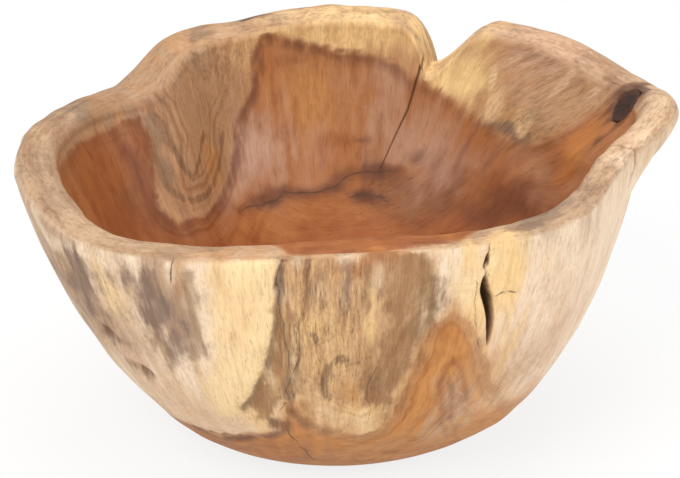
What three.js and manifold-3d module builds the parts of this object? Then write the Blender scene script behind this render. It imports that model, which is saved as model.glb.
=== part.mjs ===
// A natural-edge bowl carved from one piece of tree root, with a dead knot of branch wood in its rim.
//
// Millimetres, +Z up. The origin is the middle of the foot, on the surface that the bowl stands on.
// Angles are in degrees, anticlockwise from +X seen from above: 0 is the right end, 90 the back,
// 180 the left end and 270 the front.

import * as THREE from 'three';
import { mergeVertices } from 'three/addons/utils/BufferGeometryUtils.js';
import Module from 'manifold-3d';

const wasm = await Module();
wasm.setup();

// Bowl: mean sizes, from which each station of the rim departs by a few millimetres.
const RIM_RADIUS = 165; // outside of the wall, just under the rounded rim
const RIM_HEIGHT = 180; // crest of the rim above the foot
const BELLY_RADIUS = 150; // pull of the outer wall line at its belly
const BELLY_HEIGHT = 75; // height of that pull
const FOOT_WIDTH = 140; // flat face that the bowl stands on, left to right
const FOOT_DEPTH = 112; // the same, front to back
const HEEL_REACH = 30; // how far the wall runs on level before it turns up from the foot
const RIM_WALL = 20; // wall thickness under the rim
const BELLY_WALL = 26; // wall thickness at the belly
const FLOOR_THICKNESS = 28; // wood under the lowest point of the hollow
const FLOOR_REACH = 105; // how far the hollow's floor runs on level before it turns up
const CROWN_SHARE = 0.37; // height of the rounded rim over the straight wall, over the wall's thickness
const CROWN_FULLNESS = 0.74; // of a rim of mean thickness: 0.55 is an ellipse, 1 is square
const FULLNESS_LOSS = 0.03; // for each millimetre that the rim is thicker than that

// How the root departs from the mean round. Swell moves the rim out, rise lifts it, belly moves
// the wall below it out and wall makes the rim thicker.
const STATIONS = [
  { place: 'right end', angle: 3, swell: 2, rise: 4, belly: 10, wall: 2 },
  { place: 'right back', angle: 20, swell: 3, rise: -2, belly: 9, wall: 6 },
  { place: 'right of the notch', angle: 40, swell: 5, rise: 4, belly: 6, wall: 4 },
  { place: 'right lip of the notch', angle: 58, swell: 3, rise: 3.5, belly: 4, wall: 4 },
  { place: 'left lip of the notch', angle: 74, swell: -1, rise: 3, belly: 2, wall: 4 },
  { place: 'back', angle: 92, swell: -2, rise: 4, belly: 2, wall: 4 },
  { place: 'left of the back', angle: 112, swell: -2, rise: -1, belly: 0, wall: 4 },
  { place: 'shoulder', angle: 129, swell: -2, rise: -3, belly: -2, wall: 4 },
  { place: 'fold', angle: 141, swell: -5, rise: -18, belly: -4, wall: 4 },
  { place: 'left back', angle: 155, swell: 5, rise: -21, belly: -3, wall: 4 },
  { place: 'left end', angle: 180, swell: 7, rise: -15, belly: -2, wall: 4 },
  { place: 'left front', angle: 205, swell: 4, rise: -15, belly: -1, wall: 1 },
  { place: 'dip at the left front', angle: 222, swell: 4, rise: -15, belly: -1, wall: -3 },
  { place: 'left of the front', angle: 240, swell: 3, rise: -8, belly: -2, wall: -5 },
  { place: 'front', angle: 262, swell: -2, rise: 0, belly: -6, wall: -4 },
  { place: 'rise at the front', angle: 276, swell: -2, rise: 3, belly: -5, wall: -3 },
  { place: 'right of the front', angle: 290, swell: -2, rise: 1, belly: -4, wall: -5 },
  { place: 'right front', angle: 318, swell: -2, rise: -4, belly: 7, wall: -3 },
  { place: 'under the lobe', angle: 343, swell: -11, rise: -3, belly: 10, wall: -4 },
];

// Lobe: the rim flares out over an undercut at the right end.
const LOBE_ANGLE = 13;
const LOBE_SPREAD = 24; // degrees, to either side
const LOBE_REACH = 22;
const LOBE_DROP = 44; // height of the flare, down from the rim
const LOBE_BLUNT = 5; // how far down from the rim the flare keeps its full reach
const LOBE_CROWN = 6; // how much higher the rim is rounded there

// Fold: a rib of sapwood that stands into the hollow, from the rim at the shoulder down to the floor.
const FOLD_TOP_ANGLE = 134;
const FOLD_FOOT_ANGLE = 146;
const FOLD_SPREAD = 15; // degrees, to either side
const FOLD_REACH = 12;
const FOLD_FULLNESS = 0.6; // under 1 keeps the rib full towards its ends
const FOLD_OVER_RIM = 14; // how far over the rim it would run out, if the rim didn't end it

// Notch: the rim dips where the root was split, with one steep side.
const NOTCH_ANGLE = 67.2;
const NOTCH_DEPTH = 29;
const NOTCH_STEEP_SPREAD = 9.5; // degrees, towards the back
const NOTCH_STEEP_POWER = 3; // over 1 makes the steep side hollow
const NOTCH_SLOPE_SPREAD = 14; // degrees, towards the right end

// Crack: a drying split that runs on from the notch's steep side down the hollow's wall.
const CRACK_TOP_ANGLE = 68;
const CRACK_FOOT_ANGLE = 77;
const CRACK_BEND = 0.65; // under 1 brings it more upright towards its top
const CRACK_HEIGHT = 68; // down from the rim
const CRACK_TOP_WIDTH = 2;
const CRACK_FOOT_WIDTH = 0.6;
const CRACK_TOP_DEPTH = 15;
const CRACK_FOOT_DEPTH = 3;

// Hollow: a rotted-out slot in the front wall, which doesn't go through.
const SLOT_ANGLE = 299;
const SLOT_BELOW_RIM = 44; // from the crest of the rim to the slot's middle
const SLOT_LENGTH = 39;
const SLOT_WIDTH = 7;
const SLOT_DEPTH = 13;

// Dead knot: a tapered plug of branch wood, held in the rim's inner slope by the wood grown round it.
const KNOT_ANGLE = 13;
const KNOT_BELOW_RIM = 10; // from the crest of the rim to the middle of the knot's face
const KNOT_WIDTH = 19;
const KNOT_LENGTH = 21; // the long way of its oval face, up and down the slope
const KNOT_DEPTH = 14;
const KNOT_TAPER = 0.7; // width of its inner end over that of its face
const KNOT_TILT = 40; // degrees from level, of the way its face looks
const KNOT_GAP = 0.3; // shrinkage gap between the knot and its socket

// Fineness of the faceted surface
const SECTION_STEP = 4; // degrees between sections
const NOTCH_SECTIONS = 11;
const OUTER_STEPS = 12;
const CROWN_STEPS = 6; // even, with a point on the crest
const INNER_STEPS = 13;
const CRACK_STEPS = 7;
const KNOT_SIDES = 20;
const SLOT_CURVE_STEPS = 2; // between two points of the slot's outline
const CUTTER_PROUD = 6; // how far a cutter stands out of the surface that it cuts
const SEARCH_HALVINGS = 40; // of a wall line, to find where it reaches a height

const bell = (distance, spread) => Math.exp(-((distance / spread) ** 2));

/** The smaller turn from one angle to another, from -180 to 180 degrees. */
const turnBetween = (from, to) => ((to - from + 540) % 360) - 180;

/** A point at an angle round the bowl's axis. */
function polar(angle, radius, height) {
  const turn = THREE.MathUtils.degToRad(angle);
  return new THREE.Vector3(radius * Math.cos(turn), radius * Math.sin(turn), height);
}

/** A station's value carried round the bowl: a smooth curve through all stations that closes on itself. */
function along(angle, key) {
  const count = STATIONS.length;
  const station = (index) => {
    const lap = Math.floor(index / count);
    const { angle: place, [key]: value } = STATIONS[index - lap * count];
    return { place: place + 360 * lap, value };
  };
  const slope = (index) => {
    const [before, after] = [station(index - 1), station(index + 1)];
    return (after.value - before.value) / (after.place - before.place);
  };
  const after = STATIONS.findIndex((candidate) => candidate.angle > angle);
  const index = (after < 0 ? count : after) - 1;
  const [from, to] = [station(index), station(index + 1)];
  const span = to.place - from.place;
  const t = (angle - from.place) / span;
  const ease = t * t * (3 - 2 * t);
  const leave = t * (1 - t) ** 2 * span * slope(index);
  const arrive = t * t * (t - 1) * span * slope(index + 1);
  return from.value + (to.value - from.value) * ease + leave + arrive;
}

/** Radius of the oval foot at an angle. */
function footRadius(angle) {
  const turn = THREE.MathUtils.degToRad(angle);
  return 1 / Math.hypot(Math.cos(turn) / (FOOT_WIDTH / 2), Math.sin(turn) / (FOOT_DEPTH / 2));
}

/** Height of the rim's crest at an angle, as if it had no notch. */
const crestHeight = (angle) => RIM_HEIGHT + along(angle, 'rise');

/** Thickness of the wall under the rim at an angle. */
const rimWall = (angle) => RIM_WALL + along(angle, 'wall');

/** How much of the lobe there is at an angle, from 0 to 1. */
const lobeShare = (angle) => bell(turnBetween(LOBE_ANGLE, angle), LOBE_SPREAD);

/** Height of the rounded rim over the straight wall at an angle. */
const crownHeight = (angle) => CROWN_SHARE * rimWall(angle) + LOBE_CROWN * lobeShare(angle);

/** How far the notch takes the rim down at an angle. */
function notchDip(angle) {
  const turn = turnBetween(NOTCH_ANGLE, angle);
  if (turn > 0) {
    return NOTCH_DEPTH * Math.max(1 - turn / NOTCH_STEEP_SPREAD, 0) ** NOTCH_STEEP_POWER;
  }
  return NOTCH_DEPTH * (1 - THREE.MathUtils.smoothstep(-turn, 0, NOTCH_SLOPE_SPREAD));
}

/** The wall's two lines at an angle, from the bottom up. A point's x is its radius and its y its height. */
function wallLines(angle) {
  const rim = RIM_RADIUS + along(angle, 'swell');
  const belly = BELLY_RADIUS + along(angle, 'belly');
  const foot = footRadius(angle);
  const shoulder = crestHeight(angle) - crownHeight(angle);
  const outer = new THREE.CubicBezierCurve(
    new THREE.Vector2(foot, 0),
    new THREE.Vector2(foot + HEEL_REACH, 0),
    new THREE.Vector2(belly, BELLY_HEIGHT),
    new THREE.Vector2(rim, shoulder),
  );
  const inner = new THREE.CubicBezierCurve(
    new THREE.Vector2(0, FLOOR_THICKNESS),
    new THREE.Vector2(FLOOR_REACH, FLOOR_THICKNESS),
    new THREE.Vector2(belly - BELLY_WALL, BELLY_HEIGHT + FLOOR_THICKNESS / 2),
    new THREE.Vector2(rim - rimWall(angle), shoulder),
  );
  return { outer, inner, shoulder };
}

/** How far along a rising wall line a height is reached, from 0 to 1. */
function shareAtHeight(line, height) {
  let [low, high] = [0, 1];
  for (let halving = 0; halving < SEARCH_HALVINGS; halving += 1) {
    const middle = (low + high) / 2;
    if (line.getPoint(middle).y < height) {
      low = middle;
    } else {
      high = middle;
    }
  }
  return high;
}

/** Outward move of the flare at an angle and height. */
function lobeFlare(angle, height) {
  const crest = crestHeight(angle);
  const rise = THREE.MathUtils.smoothstep(height, crest - LOBE_DROP, crest - LOBE_BLUNT);
  return LOBE_REACH * lobeShare(angle) * rise;
}

/** Inward move of the fold on the hollow's wall at an angle and height. */
function foldRib(angle, height) {
  const top = crestHeight(angle) + FOLD_OVER_RIM;
  const share = THREE.MathUtils.clamp((height - FLOOR_THICKNESS) / (top - FLOOR_THICKNESS), 0, 1);
  const spine = THREE.MathUtils.lerp(FOLD_FOOT_ANGLE, FOLD_TOP_ANGLE, share);
  const fullness = Math.max(Math.sin(Math.PI * share), 0) ** FOLD_FULLNESS;
  return FOLD_REACH * bell(turnBetween(spine, angle), FOLD_SPREAD) * fullness;
}

/** Radius of the outer wall at an angle and height. */
function outerRadius(angle, height) {
  const { outer } = wallLines(angle);
  return outer.getPoint(shareAtHeight(outer, height)).x + lobeFlare(angle, height);
}

/** Radius of the hollow's wall at an angle and height. */
function innerRadius(angle, height) {
  const { inner } = wallLines(angle);
  const radius = inner.getPoint(shareAtHeight(inner, height)).x;
  return radius + lobeFlare(angle, height) - foldRib(angle, height);
}

/** The rounded rim at an angle between the tops of the two wall lines, without those two end points. */
function crownLine(angle, outside, inside) {
  const fullness = CROWN_FULLNESS - FULLNESS_LOSS * along(angle, 'wall');
  const top = (outside.y + inside.y) / 2 + crownHeight(angle);
  const crest = new THREE.Vector2((outside.x + inside.x) / 2, top);
  const quarter = (end) => new THREE.CubicBezierCurve(
    end,
    new THREE.Vector2(end.x, THREE.MathUtils.lerp(end.y, crest.y, fullness)),
    new THREE.Vector2(THREE.MathUtils.lerp(crest.x, end.x, fullness), crest.y),
    crest,
  ).getPoints(CROWN_STEPS / 2);
  const climb = quarter(outside).slice(1);
  const descent = quarter(inside).slice(1, -1).reverse();
  return [...climb, ...descent];
}

/** The closed outline of the wall at an angle, from the foot's edge over the rim to the floor's middle. */
function wallSection(angle) {
  const { outer, inner, shoulder } = wallLines(angle);
  const top = shoulder - notchDip(angle);
  const outerEnd = shareAtHeight(outer, top);
  const innerEnd = shareAtHeight(inner, top);
  const outside = [];
  for (let step = 0; step <= OUTER_STEPS; step += 1) {
    outside.push(outer.getPoint((outerEnd * step) / OUTER_STEPS));
  }
  const inside = [];
  for (let step = INNER_STEPS; step > 0; step -= 1) {
    inside.push(inner.getPoint((innerEnd * step) / INNER_STEPS));
  }
  const crown = crownLine(angle, outside.at(-1), inside[0]);
  const crest = (outside.at(-1).x + inside[0].x) / 2;
  const placed = ({ x, y }, foldShare) => {
    const radius = x + lobeFlare(angle, y) - foldRib(angle, y) * foldShare;
    return polar(angle, radius, y);
  };
  // The fold starts on the crest and has its full reach where the hollow's wall begins.
  const inward = ({ x }) => THREE.MathUtils.clamp((crest - x) / (crest - inside[0].x), 0, 1);
  return [
    ...outside.map((point) => placed(point, 0)),
    ...crown.map((point) => placed(point, inward(point))),
    ...inside.map((point) => placed(point, 1)),
  ];
}

/** Angles of the sections: even steps all round, and closer ones through the notch. */
function sectionAngles() {
  const notchStart = NOTCH_ANGLE - NOTCH_SLOPE_SPREAD;
  const notchEnd = NOTCH_ANGLE + NOTCH_STEEP_SPREAD;
  const angles = [];
  for (let angle = 0; angle < 360; angle += SECTION_STEP) {
    if (angle < notchStart - SECTION_STEP / 2 || angle > notchEnd + SECTION_STEP / 2) {
      angles.push(angle);
    }
  }
  for (let step = 0; step < NOTCH_SECTIONS; step += 1) {
    angles.push(THREE.MathUtils.lerp(notchStart, notchEnd, step / (NOTCH_SECTIONS - 1)));
  }
  return angles.sort((one, other) => one - other);
}

/** A closed skin over rings of points, each ring seen anticlockwise from the end that the rings run to. */
function loft(rings) {
  const sides = rings[0].length;
  const middle = (ring) => ring
    .reduce((sum, point) => sum.add(point), new THREE.Vector3())
    .divideScalar(sides);
  const points = [...rings.flat(), middle(rings[0]), middle(rings.at(-1))];
  const [startMiddle, endMiddle] = [points.length - 2, points.length - 1];
  const lastRing = (rings.length - 1) * sides;
  const triangles = [];
  for (let side = 0; side < sides; side += 1) {
    const next = (side + 1) % sides;
    triangles.push(startMiddle, next, side);
    triangles.push(endMiddle, lastRing + side, lastRing + next);
    for (let ring = 0; ring < lastRing; ring += sides) {
      triangles.push(ring + side, ring + next, ring + sides + next);
      triangles.push(ring + side, ring + sides + next, ring + sides + side);
    }
  }
  return new THREE.BufferGeometry().setFromPoints(points).setIndex(triangles);
}

/** A closed geometry as a solid that can be joined and cut. */
function solid(geometry) {
  const bare = geometry.clone();
  bare.deleteAttribute('normal');
  bare.deleteAttribute('uv');
  const merged = mergeVertices(bare);
  const triangles = [];
  for (let corner = 0; corner < merged.index.count; corner += 3) {
    const [a, b, c] = merged.index.array.slice(corner, corner + 3);
    const isFlat = a === b || b === c || c === a; // closed up by merging, as at a pole
    if (!isFlat) {
      triangles.push(a, b, c);
    }
  }
  const mesh = new wasm.Mesh({
    numProp: 3,
    vertProperties: new Float32Array(merged.attributes.position.array),
    triVerts: new Uint32Array(triangles),
  });
  return new wasm.Manifold(mesh);
}

/** A named mesh of a solid. */
function piece(name, body, finish) {
  const { vertProperties, triVerts } = body.getMesh();
  const geometry = new THREE.BufferGeometry();
  geometry.setAttribute('position', new THREE.BufferAttribute(vertProperties, 3));
  geometry.setIndex(new THREE.BufferAttribute(triVerts, 1));
  geometry.computeVertexNormals();
  const mesh = new THREE.Mesh(geometry, new THREE.MeshStandardMaterial(finish));
  mesh.name = name;
  return mesh;
}

/** The carved root before its crack, slot and knot socket are cut. */
function bowlBlank() {
  const sections = sectionAngles().map(wallSection);
  const rings = sections[0].map((_, level) => sections.map((section) => section[level]));
  return solid(loft(rings));
}

/** A thin leaning wedge that follows the hollow's wall down from the notch's steep side. */
function crackCutter() {
  const top = crestHeight(CRACK_TOP_ANGLE) - notchDip(CRACK_TOP_ANGLE);
  const foot = top - CRACK_HEIGHT;
  const rings = [];
  for (let step = 0; step <= CRACK_STEPS; step += 1) {
    const share = step / CRACK_STEPS;
    const height = THREE.MathUtils.lerp(foot, top, share);
    const angle = THREE.MathUtils.lerp(CRACK_FOOT_ANGLE, CRACK_TOP_ANGLE, share ** CRACK_BEND);
    const wall = innerRadius(angle, height);
    const depth = THREE.MathUtils.lerp(CRACK_FOOT_DEPTH, CRACK_TOP_DEPTH, share);
    const width = THREE.MathUtils.lerp(CRACK_FOOT_WIDTH, CRACK_TOP_WIDTH, share);
    const halfTurn = THREE.MathUtils.radToDeg(width / 2 / wall);
    rings.push([
      polar(angle - halfTurn, wall - CUTTER_PROUD, height),
      polar(angle, wall + depth, height),
      polar(angle + halfTurn, wall - CUTTER_PROUD, height),
    ]);
  }
  return solid(loft(rings));
}

/** The slot in the front wall: a pointed outline with its widest part above the middle. */
function slotCutter() {
  const half = { width: SLOT_WIDTH / 2, length: SLOT_LENGTH / 2 };
  const at = (across, up) => new THREE.Vector2(across * half.width, up * half.length);
  const outline = new THREE.Shape();
  outline.moveTo(-0.2 * half.width, half.length);
  outline.splineThru([at(-0.9, 0.7), at(-0.8, 0.3), at(-0.4, -0.3), at(-0.4, -0.8), at(0, -1)]);
  outline.splineThru([at(0.5, -0.7), at(0.8, -0.1), at(1, 0.35), at(0.6, 0.6), at(-0.2, 1)]);
  const geometry = new THREE.ExtrudeGeometry(outline, {
    depth: SLOT_DEPTH + CUTTER_PROUD,
    bevelEnabled: false,
    curveSegments: SLOT_CURVE_STEPS,
  });
  const middle = crestHeight(SLOT_ANGLE) - SLOT_BELOW_RIM;
  const wallPoint = (height) => polar(SLOT_ANGLE, outerRadius(SLOT_ANGLE, height), height);
  const up = wallPoint(middle + half.length).sub(wallPoint(middle - half.length)).normalize();
  const across = polar(SLOT_ANGLE + 90, 1, 0);
  const outward = new THREE.Vector3().crossVectors(across, up);
  const seat = wallPoint(middle).addScaledVector(outward, -SLOT_DEPTH);
  geometry.applyMatrix4(new THREE.Matrix4().makeBasis(across, up, outward).setPosition(seat));
  return solid(geometry);
}

/** The knot's tapered plug, grown all round by a margin, standing out of the rim's inner slope. */
function knotPlug(margin) {
  const faceRadius = KNOT_WIDTH / 2 + margin;
  const endRadius = (KNOT_WIDTH / 2) * KNOT_TAPER + margin;
  const endDepth = KNOT_DEPTH + margin;
  const profile = [
    new THREE.Vector2(0, -endDepth),
    new THREE.Vector2(endRadius, -endDepth),
    new THREE.Vector2(faceRadius, 0),
    new THREE.Vector2(faceRadius, KNOT_WIDTH),
    new THREE.Vector2(0, KNOT_WIDTH),
  ];
  const geometry = new THREE.LatheGeometry(profile, KNOT_SIDES);
  const stretch = (KNOT_LENGTH / 2 + margin) / faceRadius;
  const height = crestHeight(KNOT_ANGLE) - KNOT_BELOW_RIM;
  const seat = polar(KNOT_ANGLE, innerRadius(KNOT_ANGLE, height), height);
  const tilt = THREE.MathUtils.degToRad(KNOT_TILT);
  const across = polar(KNOT_ANGLE + 90, 1, 0);
  const facing = polar(KNOT_ANGLE + 180, Math.cos(tilt), Math.sin(tilt));
  const upSlope = new THREE.Vector3().crossVectors(across, facing).multiplyScalar(stretch);
  geometry.applyMatrix4(new THREE.Matrix4().makeBasis(across, facing, upSlope).setPosition(seat));
  return solid(geometry);
}

const blank = bowlBlank();
const carved = blank.subtract(crackCutter()).subtract(slotCutter()).subtract(knotPlug(KNOT_GAP));
const knot = knotPlug(0).intersect(blank);

const bowl = new THREE.Group();
bowl.name = 'root_bowl';
bowl.add(piece('bowl', carved, { color: 0xc99a63, roughness: 0.55, metalness: 0 }));
bowl.add(piece('dead_knot', knot, { color: 0x5a443c, roughness: 0.7, metalness: 0 }));

export default bowl;
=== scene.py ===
"""Looks of a bowl carved from one piece of tree root, with a dead knot in its rim.

The bowl is one closed surface. Every section through its axis is two wall lines joined by a rounded
rim, and the sections change smoothly round the bowl. Cracks, a rotted slot, worn grooves and dimples
are pressed into that surface. The wood is painted from named features, each placed by its angle round
the bowl and its height, and the shader adds fibre, growth rings, pores and ragged edges.

Shapes are worked out in millimetres and degrees, and put into meshes in metres. Angles run
anticlockwise from +X seen from above: 0 is the right end, 90 the back, 180 the left end and 270 the
front.
"""

import logging
import math
from dataclasses import dataclass, field
from enum import Enum, auto
from typing import Any, ClassVar, Union

import bpy
import numpy as np
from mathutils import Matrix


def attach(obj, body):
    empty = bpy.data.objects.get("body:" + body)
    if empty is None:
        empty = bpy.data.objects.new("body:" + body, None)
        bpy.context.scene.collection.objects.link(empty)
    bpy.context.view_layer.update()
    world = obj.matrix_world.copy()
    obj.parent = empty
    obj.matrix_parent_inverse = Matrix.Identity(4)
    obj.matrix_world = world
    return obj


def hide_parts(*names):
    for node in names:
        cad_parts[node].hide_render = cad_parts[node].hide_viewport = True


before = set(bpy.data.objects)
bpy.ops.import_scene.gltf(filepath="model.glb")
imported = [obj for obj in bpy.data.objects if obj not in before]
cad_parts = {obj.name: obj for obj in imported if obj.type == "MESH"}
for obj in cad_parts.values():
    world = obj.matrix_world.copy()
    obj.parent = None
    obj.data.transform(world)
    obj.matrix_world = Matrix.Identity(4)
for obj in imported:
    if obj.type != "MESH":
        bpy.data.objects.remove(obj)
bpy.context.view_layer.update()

LOG = logging.getLogger("root_bowl")
METRES = 0.001  # one millimetre
Array = np.ndarray
Number = Union[float, Array]
SocketKey = Union[str, int]


def turn_between(start: Number, end: Number) -> Number:
    """The smaller turn from one angle to another, from -180 to 180 degrees."""
    return np.mod(end - start + 540.0, 360.0) - 180.0


def bell(distance: Number, spread: float) -> Number:
    """A bell curve: one at no distance, and nearly nothing at twice the spread."""
    return np.exp(-np.square(distance / spread))


def smooth_rise(value: Number, low: float, high: float) -> Number:
    """Goes from zero at the low value to one at the high value, level at both ends."""
    share = np.clip((value - low) / (high - low), 0.0, 1.0)
    return share * share * (3.0 - 2.0 * share)


def around_axis(angle: Array, radius: Number, height: Array) -> Array:
    """Points at angles round the axis, in rows of three numbers."""
    turn = np.radians(angle)
    return np.stack([radius * np.cos(turn), radius * np.sin(turn), height], axis=-1)


def reach_along(radius: Array, height: Array) -> Array:
    """Length of each section from its first row up to each row."""
    reach = np.zeros_like(radius)
    reach[1:] = np.cumsum(np.hypot(np.diff(radius, axis=0), np.diff(height, axis=0)), axis=0)
    return reach


class Stretch(Enum):
    """A stretch of the section, in the order in which the surface runs."""

    FOOT = auto()
    OUTER = auto()
    CROWN = auto()
    INNER = auto()


class Side(Enum):
    """A side of the wall that wood is painted on."""

    OUTSIDE = auto()
    RIM = auto()
    INSIDE = auto()


class Wood(Enum):
    """Colours that this root's wood shows, and one pale colour that stands for painted sheen, as eight-bit
    display values.
    """

    CREAM = (246, 215, 164)
    YELLOW = (243, 206, 146)
    IVORY = (241, 217, 188)
    BEIGE = (226, 194, 158)
    DUN = (196, 163, 131)
    PINK = (212, 172, 142)
    TAN = (196, 150, 106)
    HONEY = (204, 150, 90)
    AMBER = (204, 142, 78)
    GREY = (164, 134, 106)
    LEMON = (253, 222, 158)
    SIENNA = (152, 84, 36)
    WALNUT = (142, 110, 76)
    HAZEL = (166, 124, 84)
    ASH = (134, 114, 96)
    MAUVE = (136, 112, 98)
    UMBER = (112, 80, 56)
    ORANGE = (190, 124, 66)
    # painted sheen: a pale lilac that stands for the satin reflection on the hollow's wall, not a colour of
    # the wood
    SHEEN = (202, 168, 144)
    RUST = (152, 88, 48)
    BROWN = (172, 116, 76)
    RED = (142, 88, 60)
    PLUM = (98, 60, 46)
    CHAR = (54, 38, 34)

    @property
    def linear(self) -> Array:
        """The colour as scene-linear red, green and blue."""
        share = np.array(self.value) / 255.0
        return np.where(share <= 0.04045, share / 12.92, ((share + 0.055) / 1.055) ** 2.4)


@dataclass(frozen=True)
class Station:
    """How far the root departs from the mean round at one angle, in millimetres."""

    angle: float
    swell: float
    rise: float
    belly: float
    wall: float


STATIONS = (
    Station(3, swell=2, rise=4, belly=10, wall=2),
    Station(20, swell=3, rise=-2, belly=9, wall=6),
    Station(40, swell=5, rise=4, belly=6, wall=4),
    Station(58, swell=3, rise=3.5, belly=4, wall=4),
    Station(74, swell=-1, rise=3, belly=2, wall=4),
    Station(92, swell=-2, rise=4, belly=2, wall=4),
    Station(112, swell=-2, rise=-1, belly=0, wall=4),
    Station(129, swell=-2, rise=-3, belly=-2, wall=4),
    Station(141, swell=-5, rise=-18, belly=-4, wall=4),
    Station(155, swell=5, rise=-21, belly=-3, wall=4),
    Station(180, swell=7, rise=-15, belly=-2, wall=4),
    Station(205, swell=4, rise=-15, belly=-1, wall=1),
    Station(222, swell=4, rise=-15, belly=-1, wall=-3),
    Station(240, swell=3, rise=-8, belly=-2, wall=-5),
    Station(262, swell=-2, rise=0, belly=-6, wall=-4),
    Station(276, swell=-2, rise=3, belly=-5, wall=-3),
    Station(290, swell=-2, rise=1, belly=-4, wall=-5),
    Station(318, swell=-2, rise=-4, belly=7, wall=-3),
    Station(343, swell=-11, rise=-3, belly=10, wall=-4),
)


@dataclass(frozen=True)
class WallLine:
    """A cubic curve in a plane through the bowl's axis, rising from its first point to its last.

    Each of the four points is a radius and a height, and each of those is an array over angles.
    """

    radii: tuple[Array, Array, Array, Array]
    heights: tuple[Array, Array, Array, Array]
    halvings: ClassVar[int] = 30

    @staticmethod
    def blend(ends: tuple[Array, Array, Array, Array], share: Array) -> Array:
        """The Bezier formula: the four values weighted by the cubic Bernstein polynomials."""
        rest = 1.0 - share
        first, second, third, last = ends
        return rest**3 * first + 3 * rest**2 * share * second + 3 * rest * share**2 * third + share**3 * last

    def point(self, share: Array) -> tuple[Array, Array]:
        """Radius and height at a share of the line."""
        return self.blend(self.radii, share), self.blend(self.heights, share)

    def share_at(self, height: Array) -> Array:
        """The share of the line at which a height is reached, found by halving the range."""
        low, high = np.zeros_like(height), np.ones_like(height)
        for _ in range(self.halvings):
            middle = (low + high) / 2
            is_below = self.blend(self.heights, middle) < height
            low, high = np.where(is_below, middle, low), np.where(is_below, high, middle)
        return high


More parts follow.
